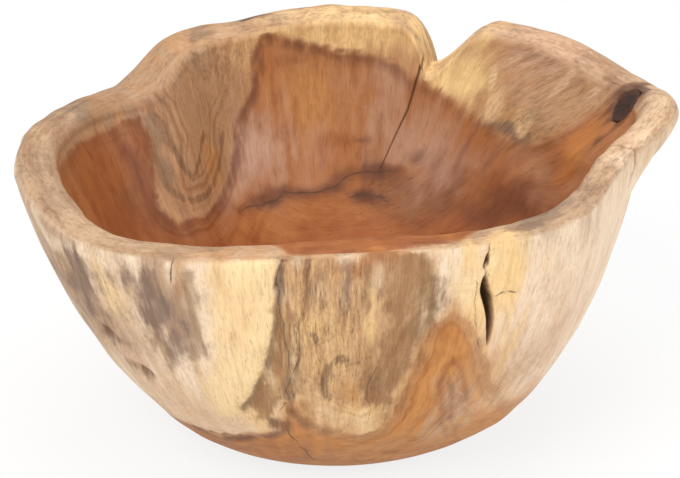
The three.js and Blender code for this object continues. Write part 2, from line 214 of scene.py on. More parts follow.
@dataclass(frozen=True)
class RootShape:
    """The carved form: mean sizes, the stations that depart from them, lobe, fold and notch."""

    rim_radius: float = 165.0
    rim_height: float = 180.0
    belly_radius: float = 150.0
    belly_height: float = 75.0
    foot_width: float = 140.0
    foot_depth: float = 112.0
    heel_reach: float = 30.0
    rim_wall: float = 20.0
    belly_wall: float = 26.0
    floor_thickness: float = 28.0
    floor_reach: float = 105.0
    crown_share: float = 0.37
    crown_fullness: float = 0.74
    fullness_loss: float = 0.03
    lobe_angle: float = 13.0
    lobe_spread: float = 24.0
    lobe_reach: float = 22.0
    lobe_drop: float = 44.0
    lobe_blunt: float = 5.0
    lobe_crown: float = 6.0
    fold_top_angle: float = 134.0
    fold_foot_angle: float = 146.0
    fold_spread: float = 15.0
    fold_reach: float = 12.0
    fold_fullness: float = 0.6
    fold_over_rim: float = 14.0
    notch_angle: float = 67.2
    notch_depth: float = 29.0
    notch_steep_spread: float = 9.5
    notch_slope_spread: float = 14.0

    def along(self, angle: Array, key: str) -> Array:
        """Carries a station's value round the bowl on a smooth curve that closes on itself.

        Between two stations it is the cubic through both, whose slope at each is that of the straight
        line between the stations on either side of it.

        Args:
            angle: Angles in degrees.
            key: Name of the station's field.

        Returns:
            The value at each angle.
        """
        places = np.array([station.angle for station in STATIONS])
        values = np.array([getattr(station, key) for station in STATIONS])
        places = np.concatenate([places[-2:] - 360.0, places, places[:2] + 360.0])
        values = np.concatenate([values[-2:], values, values[:2]])
        slopes = np.zeros_like(places)
        slopes[1:-1] = (values[2:] - values[:-2]) / (places[2:] - places[:-2])
        wrapped = np.mod(angle, 360.0)
        index = np.searchsorted(places, wrapped, side="right") - 1
        span = places[index + 1] - places[index]
        share = (wrapped - places[index]) / span
        ease = share * share * (3 - 2 * share)
        leave = share * (1 - share) ** 2 * span * slopes[index]
        arrive = share * share * (share - 1) * span * slopes[index + 1]
        return values[index] + (values[index + 1] - values[index]) * ease + leave + arrive

    def crest_height(self, angle: Array) -> Array:
        """Height of the rim's crest, as if it had no notch."""
        return self.rim_height + self.along(angle, "rise")

    def lobe_share(self, angle: Array) -> Array:
        """How much of the lobe there is, from 0 to 1."""
        return bell(turn_between(self.lobe_angle, angle), self.lobe_spread)

    def rim_thickness(self, angle: Array) -> Array:
        """Thickness of the wall under the rim."""
        return self.rim_wall + self.along(angle, "wall")

    def crown_height(self, angle: Array) -> Array:
        """Height of the rounded rim over the straight wall."""
        return self.crown_share * self.rim_thickness(angle) + self.lobe_crown * self.lobe_share(angle)

    def notch_dip(self, angle: Array) -> Array:
        """How far the notch takes the rim down: a hollow curve on its steep side, an easy one opposite."""
        turn = turn_between(self.notch_angle, angle)
        steep = np.clip(1.0 - turn / self.notch_steep_spread, 0.0, 1.0) ** 3
        slope = 1.0 - smooth_rise(-turn / self.notch_slope_spread, 0.0, 1.0)
        return self.notch_depth * np.where(turn > 0, steep, slope)

    def foot_radius(self, angle: Array) -> Array:
        """Radius of the oval foot."""
        turn = np.radians(angle)
        return 1.0 / np.hypot(np.cos(turn) / (self.foot_width / 2), np.sin(turn) / (self.foot_depth / 2))

    def wall_lines(self, angle: Array) -> tuple[WallLine, WallLine, Array]:
        """The outer line, the inner line and the height of the shoulder that both end at."""
        rim = self.rim_radius + self.along(angle, "swell")
        belly = self.belly_radius + self.along(angle, "belly")
        shoulder = self.crest_height(angle) - self.crown_height(angle)
        foot = self.foot_radius(angle)
        level = np.zeros_like(rim)
        outer = WallLine(
            radii=(foot, foot + self.heel_reach, belly, rim),
            heights=(level, level, level + self.belly_height, shoulder),
        )
        floor = level + self.floor_thickness
        inner = WallLine(
            radii=(level, level + self.floor_reach, belly - self.belly_wall, rim - self.rim_thickness(angle)),
            heights=(floor, floor, floor / 2 + self.belly_height, shoulder),
        )
        return outer, inner, shoulder

    def lobe_flare(self, angle: Array, height: Array) -> Array:
        """Outward move of the flared lobe."""
        rise = smooth_rise(height - self.crest_height(angle), -self.lobe_drop, -self.lobe_blunt)
        return self.lobe_reach * self.lobe_share(angle) * rise

    def fold_rib(self, angle: Array, height: Array) -> Array:
        """Inward move of the rib on the hollow's wall."""
        top = self.crest_height(angle) + self.fold_over_rim
        share = np.clip((height - self.floor_thickness) / (top - self.floor_thickness), 0.0, 1.0)
        spine = self.fold_foot_angle + (self.fold_top_angle - self.fold_foot_angle) * share
        fullness = np.maximum(np.sin(np.pi * share), 0.0) ** self.fold_fullness
        return self.fold_reach * bell(turn_between(spine, angle), self.fold_spread) * fullness

    def crown_point(
        self, angle: Array, outside: tuple[Array, Array], inside: tuple[Array, Array], share: Array
    ) -> tuple[Array, Array]:
        """A point of the rounded rim: two Bezier quarters that meet level on the crest.

        Args:
            angle: Angles in degrees.
            outside: Radius and height of the outer wall's top.
            inside: Radius and height of the inner wall's top.
            share: From -1 on the outside, through 0 on the crest, to 1 on the inside.

        Returns:
            Radius and height.
        """
        crest_radius = (outside[0] + inside[0]) / 2
        crest = (outside[1] + inside[1]) / 2 + self.crown_height(angle)
        end_radius = np.where(share < 0, outside[0], inside[0])
        end = np.where(share < 0, outside[1], inside[1])
        fullness = self.crown_fullness - self.fullness_loss * self.along(angle, "wall")
        bend_radius = crest_radius + (end_radius - crest_radius) * fullness
        quarter = WallLine(
            radii=(end_radius, end_radius, bend_radius, crest_radius),
            heights=(end, end + (crest - end) * fullness, crest, crest),
        )
        return quarter.point(1.0 - np.abs(share))

    def point(self, stretch: Stretch, angle: Array, share: Array) -> tuple[Array, Array]:
        """Radius and height of the surface on one stretch of the section.

        Args:
            stretch: Which stretch.
            angle: Angles in degrees.
            share: Along the stretch; on a wall 0 is its lowest point and 1 its top.

        Returns:
            Radius and height, each shaped like the angles and shares together.
        """
        angle, share = np.broadcast_arrays(angle, share)
        if stretch is Stretch.FOOT:
            return self.foot_radius(angle) * share, np.zeros_like(share)
        outer, inner, shoulder = self.wall_lines(angle)
        top = shoulder - self.notch_dip(angle)
        if stretch is Stretch.OUTER:
            radius, height = outer.point(share * outer.share_at(top))
        elif stretch is Stretch.INNER:
            radius, height = inner.point(share * inner.share_at(top))
            radius = radius - self.fold_rib(angle, height)
        else:
            ends = outer.point(outer.share_at(top)), inner.point(inner.share_at(top))
            radius, height = self.crown_point(angle, *ends, share)
            crest = (ends[0][0] + ends[1][0]) / 2
            inward = np.clip((crest - radius) / (crest - ends[1][0]), 0.0, 1.0)
            radius = radius - self.fold_rib(angle, height) * inward
        return radius + self.lobe_flare(angle, height), height

    def inside_points(self, angle: Array, over: Array) -> Array:
        """Points on the rim's inner slope and the wall below it.

        Args:
            angle: One angle for each point.
            over: Distance of each point from the crest, along the section.

        Returns:
            Points in millimetres, one row each.
        """
        crown_steps, wall_steps = 80, 160
        lowest_share = 0.5  # of the wall, which is below any point of the knot
        crown = np.linspace(0.0, 1.0, crown_steps)[:, None]
        wall = np.linspace(1.0, lowest_share, wall_steps)[1:, None]
        sections = [
            self.point(Stretch.CROWN, angle[None], crown),
            self.point(Stretch.INNER, angle[None], wall),
        ]
        radius, height = (np.concatenate(parts) for parts in zip(*sections))
        reach = reach_along(radius, height)
        after = np.clip(np.sum(reach < over, axis=0), 1, len(reach) - 1)[None]
        steps = np.concatenate([after - 1, after])
        (near, far), radii, heights = (np.take_along_axis(part, steps, 0) for part in (reach, radius, height))
        share = (over - near) / (far - near)
        radius, height = (part[0] * (1 - share) + part[1] * share for part in (radii, heights))
        return around_axis(angle, radius, height)


@dataclass(frozen=True)
class Ripples:
    """Smooth unevenness that is the same each run: a sum of sines in random directions."""

    seed: int
    length: float
    count: int = 24

    def at(self, points: Array) -> Array:
        """The unevenness at points, with a spread of about one."""
        draw = np.random.default_rng(self.seed)
        ways = draw.normal(size=(self.count, 3))
        ways /= np.linalg.norm(ways, axis=1, keepdims=True)
        pace = 2 * np.pi / (self.length * draw.uniform(0.6, 1.6, self.count))
        start = draw.uniform(0, 2 * np.pi, self.count)
        total = np.zeros(points.shape[:-1])
        for way, step, shift in zip(ways, pace, start):
            total += np.sin(points @ way * step + shift)
        return total * math.sqrt(2.0 / self.count)


@dataclass(frozen=True)
class Crowding:
    """Columns of the grid stand closer together near an angle."""

    angle: float
    spread: float
    gain: float


@dataclass(frozen=True)
class Lean:
    """Columns near an angle lean with the height, so that they follow a crack or a slot."""

    stretch: Stretch
    angle: float
    spread: float
    heights: tuple[float, ...]
    turns: tuple[float, ...]


@dataclass
class RootSurface:
    """The bowl's grid of points, with the coordinates that features are placed by.

    Rows run from the foot's middle up the outside, over the rim and down the inside to the floor's
    middle. Columns run anticlockwise.
    """

    shape: RootShape
    columns: int = 408
    foot_rows: int = 8
    outer_rows: int = 94
    crown_rows: int = 37
    inner_rows: int = 101
    crowding: tuple[Crowding, ...] = (
        Crowding(68.0, 1.4, 7.0),
        Crowding(298.5, 2.6, 4.5),
        Crowding(261.5, 5.0, 2.2),
        Crowding(12.8, 5.0, 2.6),
        Crowding(347.2, 1.0, 4.0),
        Crowding(242.0, 0.9, 4.0),
        Crowding(147.0, 4.0, 1.0),
        Crowding(289.0, 5.0, 0.8),
    )
    leans: tuple[Lean, ...] = (
        Lean(Stretch.INNER, 68.0, 14.0, (28.0, 60.0, 93.0, 129.0, 161.0), (0.0, 5.5, 9.0, 2.8, 0.0)),
        Lean(
            Stretch.OUTER, 298.5, 8.0,
            (0.0, 80.0, 113.0, 131.0, 145.0, 160.0), (0.0, 2.0, 2.3, 1.0, -0.4, -1.4),
        ),
    )
    steps_per_degree: int = 40
    lean_rounds: int = 16
    row_crowding: float = 1.15
    edge_band: tuple[float, float] = (0.55, 0.85)
    rim_band: tuple[float, float] = (22.0, 32.0)
    least_radius: float = 40.0
    drift_seeds: tuple[int, int] = (31, 41)
    broad_drift: float = 4.0
    broad_drift_length: float = 40.0
    fine_drift: float = 1.8
    fine_drift_length: float = 13.0
    slant: float = 0.45
    slant_level: float = 150.0
    slant_angle: float = 34.0
    slant_spread: float = 20.0
    column_angle: Array = field(init=False)
    angle: Array = field(init=False)
    radius: Array = field(init=False)
    height: Array = field(init=False)
    over: Array = field(init=False)
    inner_edge: Array = field(init=False)
    outer_edge: Array = field(init=False)
    points: Array = field(init=False)
    drift: tuple[Array, Array] = field(init=False)
    stretch_rows: dict[Stretch, slice] = field(init=False)

    def __post_init__(self) -> None:
        """Lays out the grid."""
        self.column_angle = self.column_places()
        shares = {
            Stretch.FOOT: np.linspace(0.0, 1.0, self.foot_rows + 1)[1:-1],
            Stretch.OUTER: 1.0 - np.linspace(1.0, 0.0, self.outer_rows) ** self.row_crowding,
            Stretch.CROWN: np.linspace(-1.0, 1.0, self.crown_rows + 2)[1:-1],
            Stretch.INNER: np.linspace(1.0, 0.0, self.inner_rows)[:-1],
        }
        rows: list[tuple[Array, Array, Array]] = []
        self.stretch_rows = {}
        first = 0
        for stretch, share in shares.items():
            angle = self.leaning_angles(stretch, share)
            rows.append((angle, *self.shape.point(stretch, angle, share[:, None])))
            self.stretch_rows[stretch] = slice(first, first + len(share))
            first += len(share)
        self.angle, self.radius, self.height = (np.concatenate(parts) for parts in zip(*rows))
        self.points = around_axis(self.angle, self.radius, self.height)
        reach = reach_along(self.radius, self.height)
        crest = self.stretch_rows[Stretch.CROWN].start + self.crown_rows // 2
        self.over = reach - reach[crest]
        self.inner_edge = self.over[self.stretch_rows[Stretch.INNER].start]
        self.outer_edge = -self.over[self.stretch_rows[Stretch.OUTER].stop - 1]
        self.drift = tuple(self.wandering(seed) for seed in self.drift_seeds)

    def wandering(self, seed: int) -> Array:
        """Millimetres by which painted marks wander from their plain shapes."""
        broad = Ripples(seed, self.broad_drift_length).at(self.points)
        fine = Ripples(seed + 1, self.fine_drift_length).at(self.points)
        return self.broad_drift * broad + self.fine_drift * fine

    def column_places(self) -> Array:
        """Angles of the columns: even steps of a measure that grows faster near a crowding."""
        fine = np.linspace(0.0, 360.0, 360 * self.steps_per_degree + 1)
        weight = np.ones_like(fine)
        for crowd in self.crowding:
            weight += crowd.gain * bell(turn_between(crowd.angle, fine), crowd.spread)
        measure = np.concatenate([[0.0], np.cumsum((weight[1:] + weight[:-1]) / 2)])
        wanted = np.linspace(0.0, measure[-1], self.columns, endpoint=False)
        return np.interp(wanted, measure, fine)

    def leaning_angles(self, stretch: Stretch, share: Array) -> Array:
        """Angles of a stretch's points, row by row.

        A lean's turn depends on the height of the leaning column, which depends on the turn, so the two
        are settled by going from one to the other.
        """
        angle = np.repeat(self.column_angle[None], len(share), axis=0)
        for lean in self.leans:
            if lean.stretch is stretch:
                turn = np.zeros_like(share)
                for _ in range(self.lean_rounds):
                    _, height = self.shape.point(stretch, lean.angle + turn, share)
                    turn = (turn + np.interp(height, lean.heights, lean.turns)) / 2
                angle = angle + turn[:, None] * bell(turn_between(lean.angle, self.column_angle), lean.spread)
        return angle

    @property
    def inside(self) -> Array:
        """How far each point belongs to the hollow, from 0 to 1."""
        return smooth_rise(self.over / self.inner_edge, *self.edge_band)

    @property
    def outside(self) -> Array:
        """How far each point belongs to the outer wall, from 0 to 1."""
        return smooth_rise(-self.over / self.outer_edge, *self.edge_band)

    def belongs(self, side: Side) -> Array:
        """How far each point belongs to a side, from 0 to 1."""
        if side is Side.INSIDE:
            return self.inside
        if side is Side.OUTSIDE:
            return self.outside
        return 1.0 - self.inside - self.outside

    def reaches(self, side: Side) -> Array:
        """Where a mark of a side may lie, from 0 to 1: a mark on the rim may run on over its edges."""
        if side is Side.RIM:
            return 1.0 - smooth_rise(np.abs(self.over), *self.rim_band)
        return self.belongs(side)

    def across(self, angle: float) -> Array:
        """Millimetres from an angle to each point, along the circle through the point."""
        return np.radians(turn_between(angle, self.angle)) * np.maximum(self.radius, self.least_radius)

    def spot(self, angle: float, wide: float, height: float, tall: float) -> Array:
        """A soft oval spot, from 0 to 1, with its spreads each way in millimetres."""
        return bell(self.across(angle), wide) * bell(self.height - height, tall)

    def near(self, angle: float, degrees: float) -> Array:
        """A bell curve round an angle, with a spread in degrees."""
        return bell(turn_between(angle, self.angle), degrees)

    def column_across(self, angle: float) -> Array:
        """The same, from the leaning line that a column follows."""
        return np.radians(turn_between(angle, self.column_angle))[None] * self.radius

    def fibre(self, drum: float) -> Array:
        """Coordinates that run along the fibre: round a drum, and over the rim.

        They slant on the right wall of the hollow.
        """
        above = (self.height - self.slant_level) * (self.over > 0)
        slant = self.slant * above * self.near(self.slant_angle, self.slant_spread)
        return around_axis(self.angle + slant, drum, self.over)

    def outward(self) -> Array:
        """Unit normals that point out of the wood, from the slopes of the grid."""
        up = np.gradient(self.points, axis=0)
        round_ = np.roll(self.points, -1, axis=1) - np.roll(self.points, 1, axis=1)
        normal = np.cross(round_, up)
        return normal / np.linalg.norm(normal, axis=-1, keepdims=True)


@dataclass(frozen=True)
class Trace:
    """A line on the surface, through points that are each an angle and a height."""

    name: str
    side: Side
    points: tuple[tuple[float, float], ...]
    width: float = 1.0
    strength: float = 1.0
    depth: float = 0.0
    sway: float = 0.25

    def signed_distance(self, surface: RootSurface) -> Array:
        """Millimetres from each point to the line, negative on its right-hand side as it runs.

        The nearest of its straight pieces counts. On each, a point's share along the piece is kept
        between 0 and 1, and the distance is to the point at that share. The line wanders with the
        surface's drift, by its share of it.
        """
        drift_x, drift_y = (self.sway * drift for drift in surface.drift)
        nearest = np.full(surface.radius.shape, np.inf)
        sign = np.ones_like(nearest)
        degree = np.radians(np.maximum(surface.radius, surface.least_radius))
        for start, end in zip(self.points, self.points[1:]):
            run_x, run_y = (end[0] - start[0]) * degree, end[1] - start[1]
            x = turn_between(start[0], surface.angle) * degree + drift_x
            y = surface.height - start[1] + drift_y
            share = np.clip((x * run_x + y * run_y) / (run_x**2 + run_y**2), 0.0, 1.0)
            gap = np.hypot(x - share * run_x, y - share * run_y)
            is_nearer = gap < nearest
            nearest = np.where(is_nearer, gap, nearest)
            sign = np.where(is_nearer, np.where(run_x * y - run_y * x < 0, -1.0, 1.0), sign)
        return nearest * sign


OUT, IN = Side.OUTSIDE, Side.INSIDE


@dataclass(frozen=True)
class Mark:
    """A place on one side of the wall where the wood has another colour, or where shade or sheen is painted.
    """

    name: str
    side: Side
    wood: Wood
    strength: float
    raggedness: ClassVar[float] = 0.45
    wash_steepness: ClassVar[float] = 1.4
    stain_steepness: ClassVar[float] = 1.3

    def span(self, surface: RootSurface) -> Array:
        """Squared distance from the mark's middle, one on its edge."""
        raise NotImplementedError

    def wash(self, surface: RootSurface, ragged: Array) -> Array:
        """Strength of a soft-edged mark: a bell over the squared distance."""
        span = self.span(surface) * np.exp(self.raggedness * ragged)
        return self.strength * np.exp(-(span**self.wash_steepness)) * surface.reaches(self.side)

    def stain(self, surface: RootSurface) -> Array:
        """Height of a sharp-edged mark's hill: one in its middle, a half on its edge, nothing far away."""
        return surface.reaches(self.side) / (1.0 + self.span(surface) ** self.stain_steepness)


@dataclass(frozen=True)
class Patch(Mark):
    """An oval mark.

    Its place is an angle and a level: a height, or on the rim a distance over the crest. Its half
    width and half height are in millimetres, and lean turns its top towards larger angles.
    """

    angle: float
    level: float
    wide: float
    tall: float
    lean: float = 0.0
    full_sway_size: ClassVar[float] = 10.0

    def span(self, surface: RootSurface) -> Array:
        """Squared elliptical distance from the patch's middle."""
        level = surface.over if self.side is Side.RIM else surface.height
        sway = min(1.0, min(self.wide, self.tall) / self.full_sway_size)
        x = surface.across(self.angle) + sway * surface.drift[0]
        y = level - self.level + sway * surface.drift[1]
        turn = math.radians(self.lean)
        along = y * math.cos(turn) + x * math.sin(turn)
        beside = x * math.cos(turn) - y * math.sin(turn)
        return np.square(beside / self.wide) + np.square(along / self.tall)


@dataclass(frozen=True)
class Ribbon(Mark):
    """A band of colour along a line of points, which are each an angle and a height."""

    half_width: float
    points: tuple[tuple[float, float], ...]
    raggedness: ClassVar[float] = 0.15
    most_sway: ClassVar[float] = 0.4
    full_sway_width: ClassVar[float] = 12.0

    def span(self, surface: RootSurface) -> Array:
        """Squared distance from the line, in half widths."""
        sway = min(self.most_sway, self.half_width / self.full_sway_width)
        line = Trace(self.name, self.side, self.points, sway=sway)
        return np.square(line.signed_distance(surface) / self.half_width)


def on_outside(
    name: str, wood: Wood, strength: float, angle: float, height: float, wide: float, tall: float
) -> Patch:
    """A patch on the outer wall."""
    return Patch(name, Side.OUTSIDE, wood, strength, angle, height, wide, tall)


def on_rim(
    name: str, wood: Wood, strength: float, angle: float, over: float, wide: float, tall: float
) -> Patch:
    """A patch on the rim."""
    return Patch(name, Side.RIM, wood, strength, angle, over, wide, tall)


def in_hollow(
    name: str,
    wood: Wood,
    strength: float,
    angle: float,
    height: float,
    wide: float,
    tall: float,
    lean: float = 0.0,
) -> Patch:
    """A patch on the hollow's wall."""
    return Patch(name, Side.INSIDE, wood, strength, angle, height, wide, tall, lean)


SAPWOOD_WASHES = (
    on_outside("pink flank", Wood.PINK, 0.4, 318, 92, 32, 44),
    on_outside("grey flank", Wood.DUN, 0.65, 309, 86, 20, 18),
    on_outside("tan heel", Wood.TAN, 0.75, 312, 42, 56, 17),
    on_outside("yellow front", Wood.YELLOW, 0.8, 274, 96, 62, 84),
    on_outside("front", Wood.TAN, 0.75, 273, 128, 34, 72),
    on_outside("brown front", Wood.HAZEL, 0.25, 278, 122, 30, 70),
    on_outside("top of the front", Wood.HAZEL, 0.6, 273, 173, 34, 11),
    on_outside("pale front", Wood.YELLOW, 0.65, 268.6, 126, 9, 18),
    on_outside("low front", Wood.HONEY, 0.3, 268, 82, 26, 20),
    on_outside("low pale front", Wood.YELLOW, 0.75, 273, 66, 12, 10),
    on_outside("yellow by the slot", Wood.YELLOW, 0.95, 299, 152, 15, 38),
    on_outside("left flank", Wood.DUN, 0.95, 212, 132, 62, 66),
    on_outside("grey of the left flank", Wood.GREY, 0.5, 210, 130, 44, 48),
    on_outside("left heel", Wood.BEIGE, 0.85, 234, 66, 40, 24),
    Ribbon(
        "honey streak", OUT, Wood.BROWN, 0.7, 4.0,
        ((242.8, 156), (242, 147), (240.6, 132), (238.5, 117)),
    ),
    # A pale band painted along the outer edge of the left rim.
    Ribbon(
        "pale band along the left rim's edge", OUT, Wood.IVORY, 0.85, 4.5,
        ((205, 160), (209, 152), (215, 153), (221, 156), (225, 160), (232, 162), (238, 163), (244, 166)),
    ),
    on_outside("yellow left of the strip", Wood.YELLOW, 0.8, 251, 118, 12, 64),
    on_outside("pale left", Wood.CREAM, 0.75, 226.6, 142, 8, 24),
    on_outside("dark left", Wood.GREY, 0.85, 238.6, 136, 15, 24),
    on_outside("shade of the upper dimple", Wood.UMBER, 0.75, 218.6, 100, 6, 6),
    on_outside("shade of the lower dimple", Wood.UMBER, 0.6, 224.6, 80, 7, 4.5),
    on_outside("pink swelling", Wood.PINK, 0.8, 223.8, 91, 10, 11),
    on_outside("back flank", Wood.BEIGE, 0.75, 100, 100, 150, 90),
    on_outside("left back yellow", Wood.YELLOW, 0.6, 166, 110, 18, 46),
    on_outside("back pink", Wood.PINK, 0.7, 131, 100, 26, 52),
    # Painted shade: a dun band where the flared lobe overhangs the outer wall.
    on_outside("under the lobe", Wood.DUN, 0.5, 6, 152, 30, 12),
    on_rim("left rim", Wood.GREY, 0.3, 175, 2, 110, 24),
    on_rim("left back rim", Wood.GREY, 0.65, 140, 2, 56, 26),
    on_rim("brown of the left back rim", Wood.HAZEL, 0.7, 151, 10, 26, 11),
    on_rim("brown of the shoulder", Wood.HAZEL, 0.45, 129, 8, 20, 10),
    on_rim("right front rim", Wood.GREY, 0.5, 316, 3, 50, 16),
    on_rim("pale right rim", Wood.BEIGE, 0.75, 350, -3, 30, 15),
    on_rim("ivory of the right rim", Wood.IVORY, 0.6, 344, -8, 18, 8),
    on_rim("lobe's rim", Wood.BEIGE, 0.6, 8, 0, 40, 20),
    on_rim("brown round the knot", Wood.RED, 0.9, 14, 18, 22, 15),
    on_rim("dark round the knot", Wood.CHAR, 0.8, 13.5, 17, 14, 13),
    on_rim("right back rim", Wood.PINK, 0.7, 40, 3, 40, 20),
    on_rim("notch's rim", Wood.YELLOW, 0.9, 64, 0, 28, 20),
    on_rim("back rim", Wood.YELLOW, 0.8, 88, 0, 40, 20),
    on_rim("shoulder's rim", Wood.TAN, 0.7, 124, 0, 40, 20),
    on_rim("brown front rim", Wood.TAN, 0.75, 252, -6, 30, 12),
    on_rim("top of the front", Wood.TAN, 0.95, 272, -12, 38, 13),
    on_rim("yellow over the slot", Wood.YELLOW, 0.8, 297, -6, 16, 10),
    in_hollow("back yellow", Wood.YELLOW, 0.9, 88, 172, 62, 14),
    in_hollow("notch's yellow", Wood.LEMON, 0.95, 58, 156, 27, 26),
    in_hollow("grey right wall", Wood.GREY, 0.45, 30, 158, 34, 28),
    in_hollow("pink right wall", Wood.PINK, 0.6, 42, 168, 18, 18),
    in_hollow("tongue", Wood.GREY, 0.5, 130, 130, 44, 56),
    in_hollow("grey top of the tongue", Wood.GREY, 0.35, 122, 168, 18, 9),
    in_hollow("honey of the tongue", Wood.HONEY, 0.6, 130, 112, 7, 16),
    in_hollow("left inner band", Wood.GREY, 0.5, 165, 154, 50, 7),
)

SAPWOOD_STAINS = (
    on_outside("cream by the slot", Wood.CREAM, 0.9, 293.6, 158, 9, 26),
    Ribbon(
        "grey front", OUT, Wood.HAZEL, 1.0, 11.0,
        ((282, 176), (282.2, 158), (282.8, 142), (282, 128), (280.6, 112), (281, 98), (280.4, 84)),
    ),
    on_outside("walnut of the grey front", Wood.WALNUT, 0.9, 283.4, 140, 10, 28),
    on_outside("low walnut of the front", Wood.WALNUT, 0.85, 280.8, 92, 6, 18),
    on_outside("pale streak", Wood.YELLOW, 0.75, 276.6, 142, 2.5, 16),
    on_outside("low pale spot", Wood.CREAM, 0.85, 275, 62, 7, 8),
    on_outside("middle of the ring", Wood.HONEY, 0.85, 273.8, 88, 4, 15),
    Ribbon(
        "brown ring", OUT, Wood.UMBER, 0.7, 1.6,
        ((268.4, 84), (268, 98), (268.8, 110), (271.4, 116), (274, 112)),
    ),
    Ribbon(
        "recess", OUT, Wood.HAZEL, 0.95, 6.0,
        ((262, 146), (260.4, 118), (258.4, 100), (256, 84), (253, 70)),
    ),
    Ribbon(
        "strip's shadow", OUT, Wood.UMBER, 0.7, 1.8,
        ((260.6, 150), (259, 128), (257, 108), (254.8, 94), (252, 81), (249, 69)),
    ),
    Ribbon(
        "main seam's shade", OUT, Wood.UMBER, 0.8, 1.8,
        ((265.2, 182), (266.2, 158), (264.4, 134), (263.2, 114), (260.8, 87), (259.6, 72)),
    ),
    Ribbon(
        "main seam's side", OUT, Wood.HAZEL, 0.5, 3.4,
        ((266, 182), (267, 158), (265.2, 134), (264, 114), (261.6, 92)),
    ),
    Ribbon(
        "second seam's shade", OUT, Wood.UMBER, 0.75, 2.0,
        ((261.6, 180), (261, 160), (261.2, 148), (260.9, 127), (261, 106), (260, 84)),
    ),
    on_outside("foot of the seam", Wood.UMBER, 0.85, 257, 64, 6, 6),
    Ribbon("worm streak", OUT, Wood.UMBER, 0.5, 1.6, ((268.2, 174), (268.6, 150))),
    Ribbon("second worm streak", OUT, Wood.MAUVE, 0.6, 1.8, ((272, 180), (272.4, 164), (272, 146))),
    Ribbon("third worm streak", OUT, Wood.UMBER, 0.5, 1.6, ((275.4, 174), (275.6, 150))),
    Ribbon(
        "grey band", OUT, Wood.GREY, 0.75, 3.0,
        ((245.4, 163), (245, 146), (243.6, 128), (241.4, 106)),
    ),
    on_outside("mauve patch", Wood.MAUVE, 1.0, 235.4, 135, 13, 21),
    on_outside("low mauve patch", Wood.MAUVE, 0.8, 237.4, 113, 6, 13),
    on_outside("mauve of the left", Wood.MAUVE, 1.0, 217, 138, 13, 25),
    on_outside("far mauve of the left", Wood.MAUVE, 0.8, 206, 122, 10, 20),
    # Painted shade: umber in the hollows of the two dimples, where shade falls.
    on_outside("upper dimple", Wood.UMBER, 0.8, 218.6, 100, 7, 7),
    on_outside("lower dimple", Wood.UMBER, 0.8, 224.6, 80, 8, 5),
    on_outside("back honey", Wood.HONEY, 0.6, 149, 130, 9, 40),
    on_outside("back umber", Wood.UMBER, 0.4, 113, 140, 5, 28),
    on_outside("back cream", Wood.CREAM, 0.8, 95, 112, 15, 58),
    on_outside("back grey", Wood.GREY, 0.7, 60, 118, 15, 40),
    on_outside("right back mauve", Wood.MAUVE, 0.7, 26, 108, 13, 36),
    on_rim("brown lip of the front", Wood.BROWN, 1.0, 277, -12, 11, 6),
    on_rim("dark of the right front rim", Wood.ASH, 0.8, 314, 2, 24, 6),
    on_rim("dark edge of the back rim", Wood.CHAR, 0.8, 108.4, -3, 9, 3),
    on_rim("grey of the shoulder's rim", Wood.ASH, 0.6, 122, 4, 14, 8),
    on_rim("grey of the left back rim", Wood.ASH, 0.6, 157, 2, 18, 8),
    on_rim("beige of the left rim", Wood.BEIGE, 0.7, 175, -2, 14, 6),
    on_rim("grey of the left rim", Wood.GREY, 0.7, 190, 3, 16, 6),
    on_rim("grey of the left front rim", Wood.GREY, 0.7, 208, 2, 14, 6),
    on_rim("grey left of the strip", Wood.GREY, 0.7, 240, -2, 16, 6),
    in_hollow("pale slant", Wood.BEIGE, 0.6, 31, 167, 2.5, 12, lean=-25),
    in_hollow("second pale slant", Wood.BEIGE, 0.6, 22.8, 169, 2.5, 10, lean=-25),
    in_hollow("dark foot of the right wall", Wood.ASH, 0.95, 43, 128, 18, 7),
    in_hollow("cream streak", Wood.CREAM, 0.85, 49.5, 157, 2.2, 9),
    in_hollow("cream patch", Wood.CREAM, 0.75, 47.6, 140, 5, 12, lean=-15),
    in_hollow("second cream patch", Wood.CREAM, 1.0, 39.8, 138, 6.5, 12, lean=-30),
    Ribbon("grey side of the tongue", IN, Wood.ASH, 0.6, 3.2, ((144.6, 146), (145.2, 128), (146, 112))),
    Ribbon(
        "tongue's inner ring", IN, Wood.UMBER, 0.6, 1.5,
        ((143.2, 146), (142.5, 132), (141.3, 122), (139.7, 114), (137.6, 108), (133.6, 116), (129.6, 126)),
    ),
    Ribbon(
        "tongue's outer ring", IN, Wood.UMBER, 0.55, 1.6,
        (
            (145.9, 140), (146.7, 115), (146.5, 108), (145.1, 102), (140.1, 96), (135.1, 95), (129.4, 98),
            (125.5, 107), (121.7, 122),
        ),
    ),
)

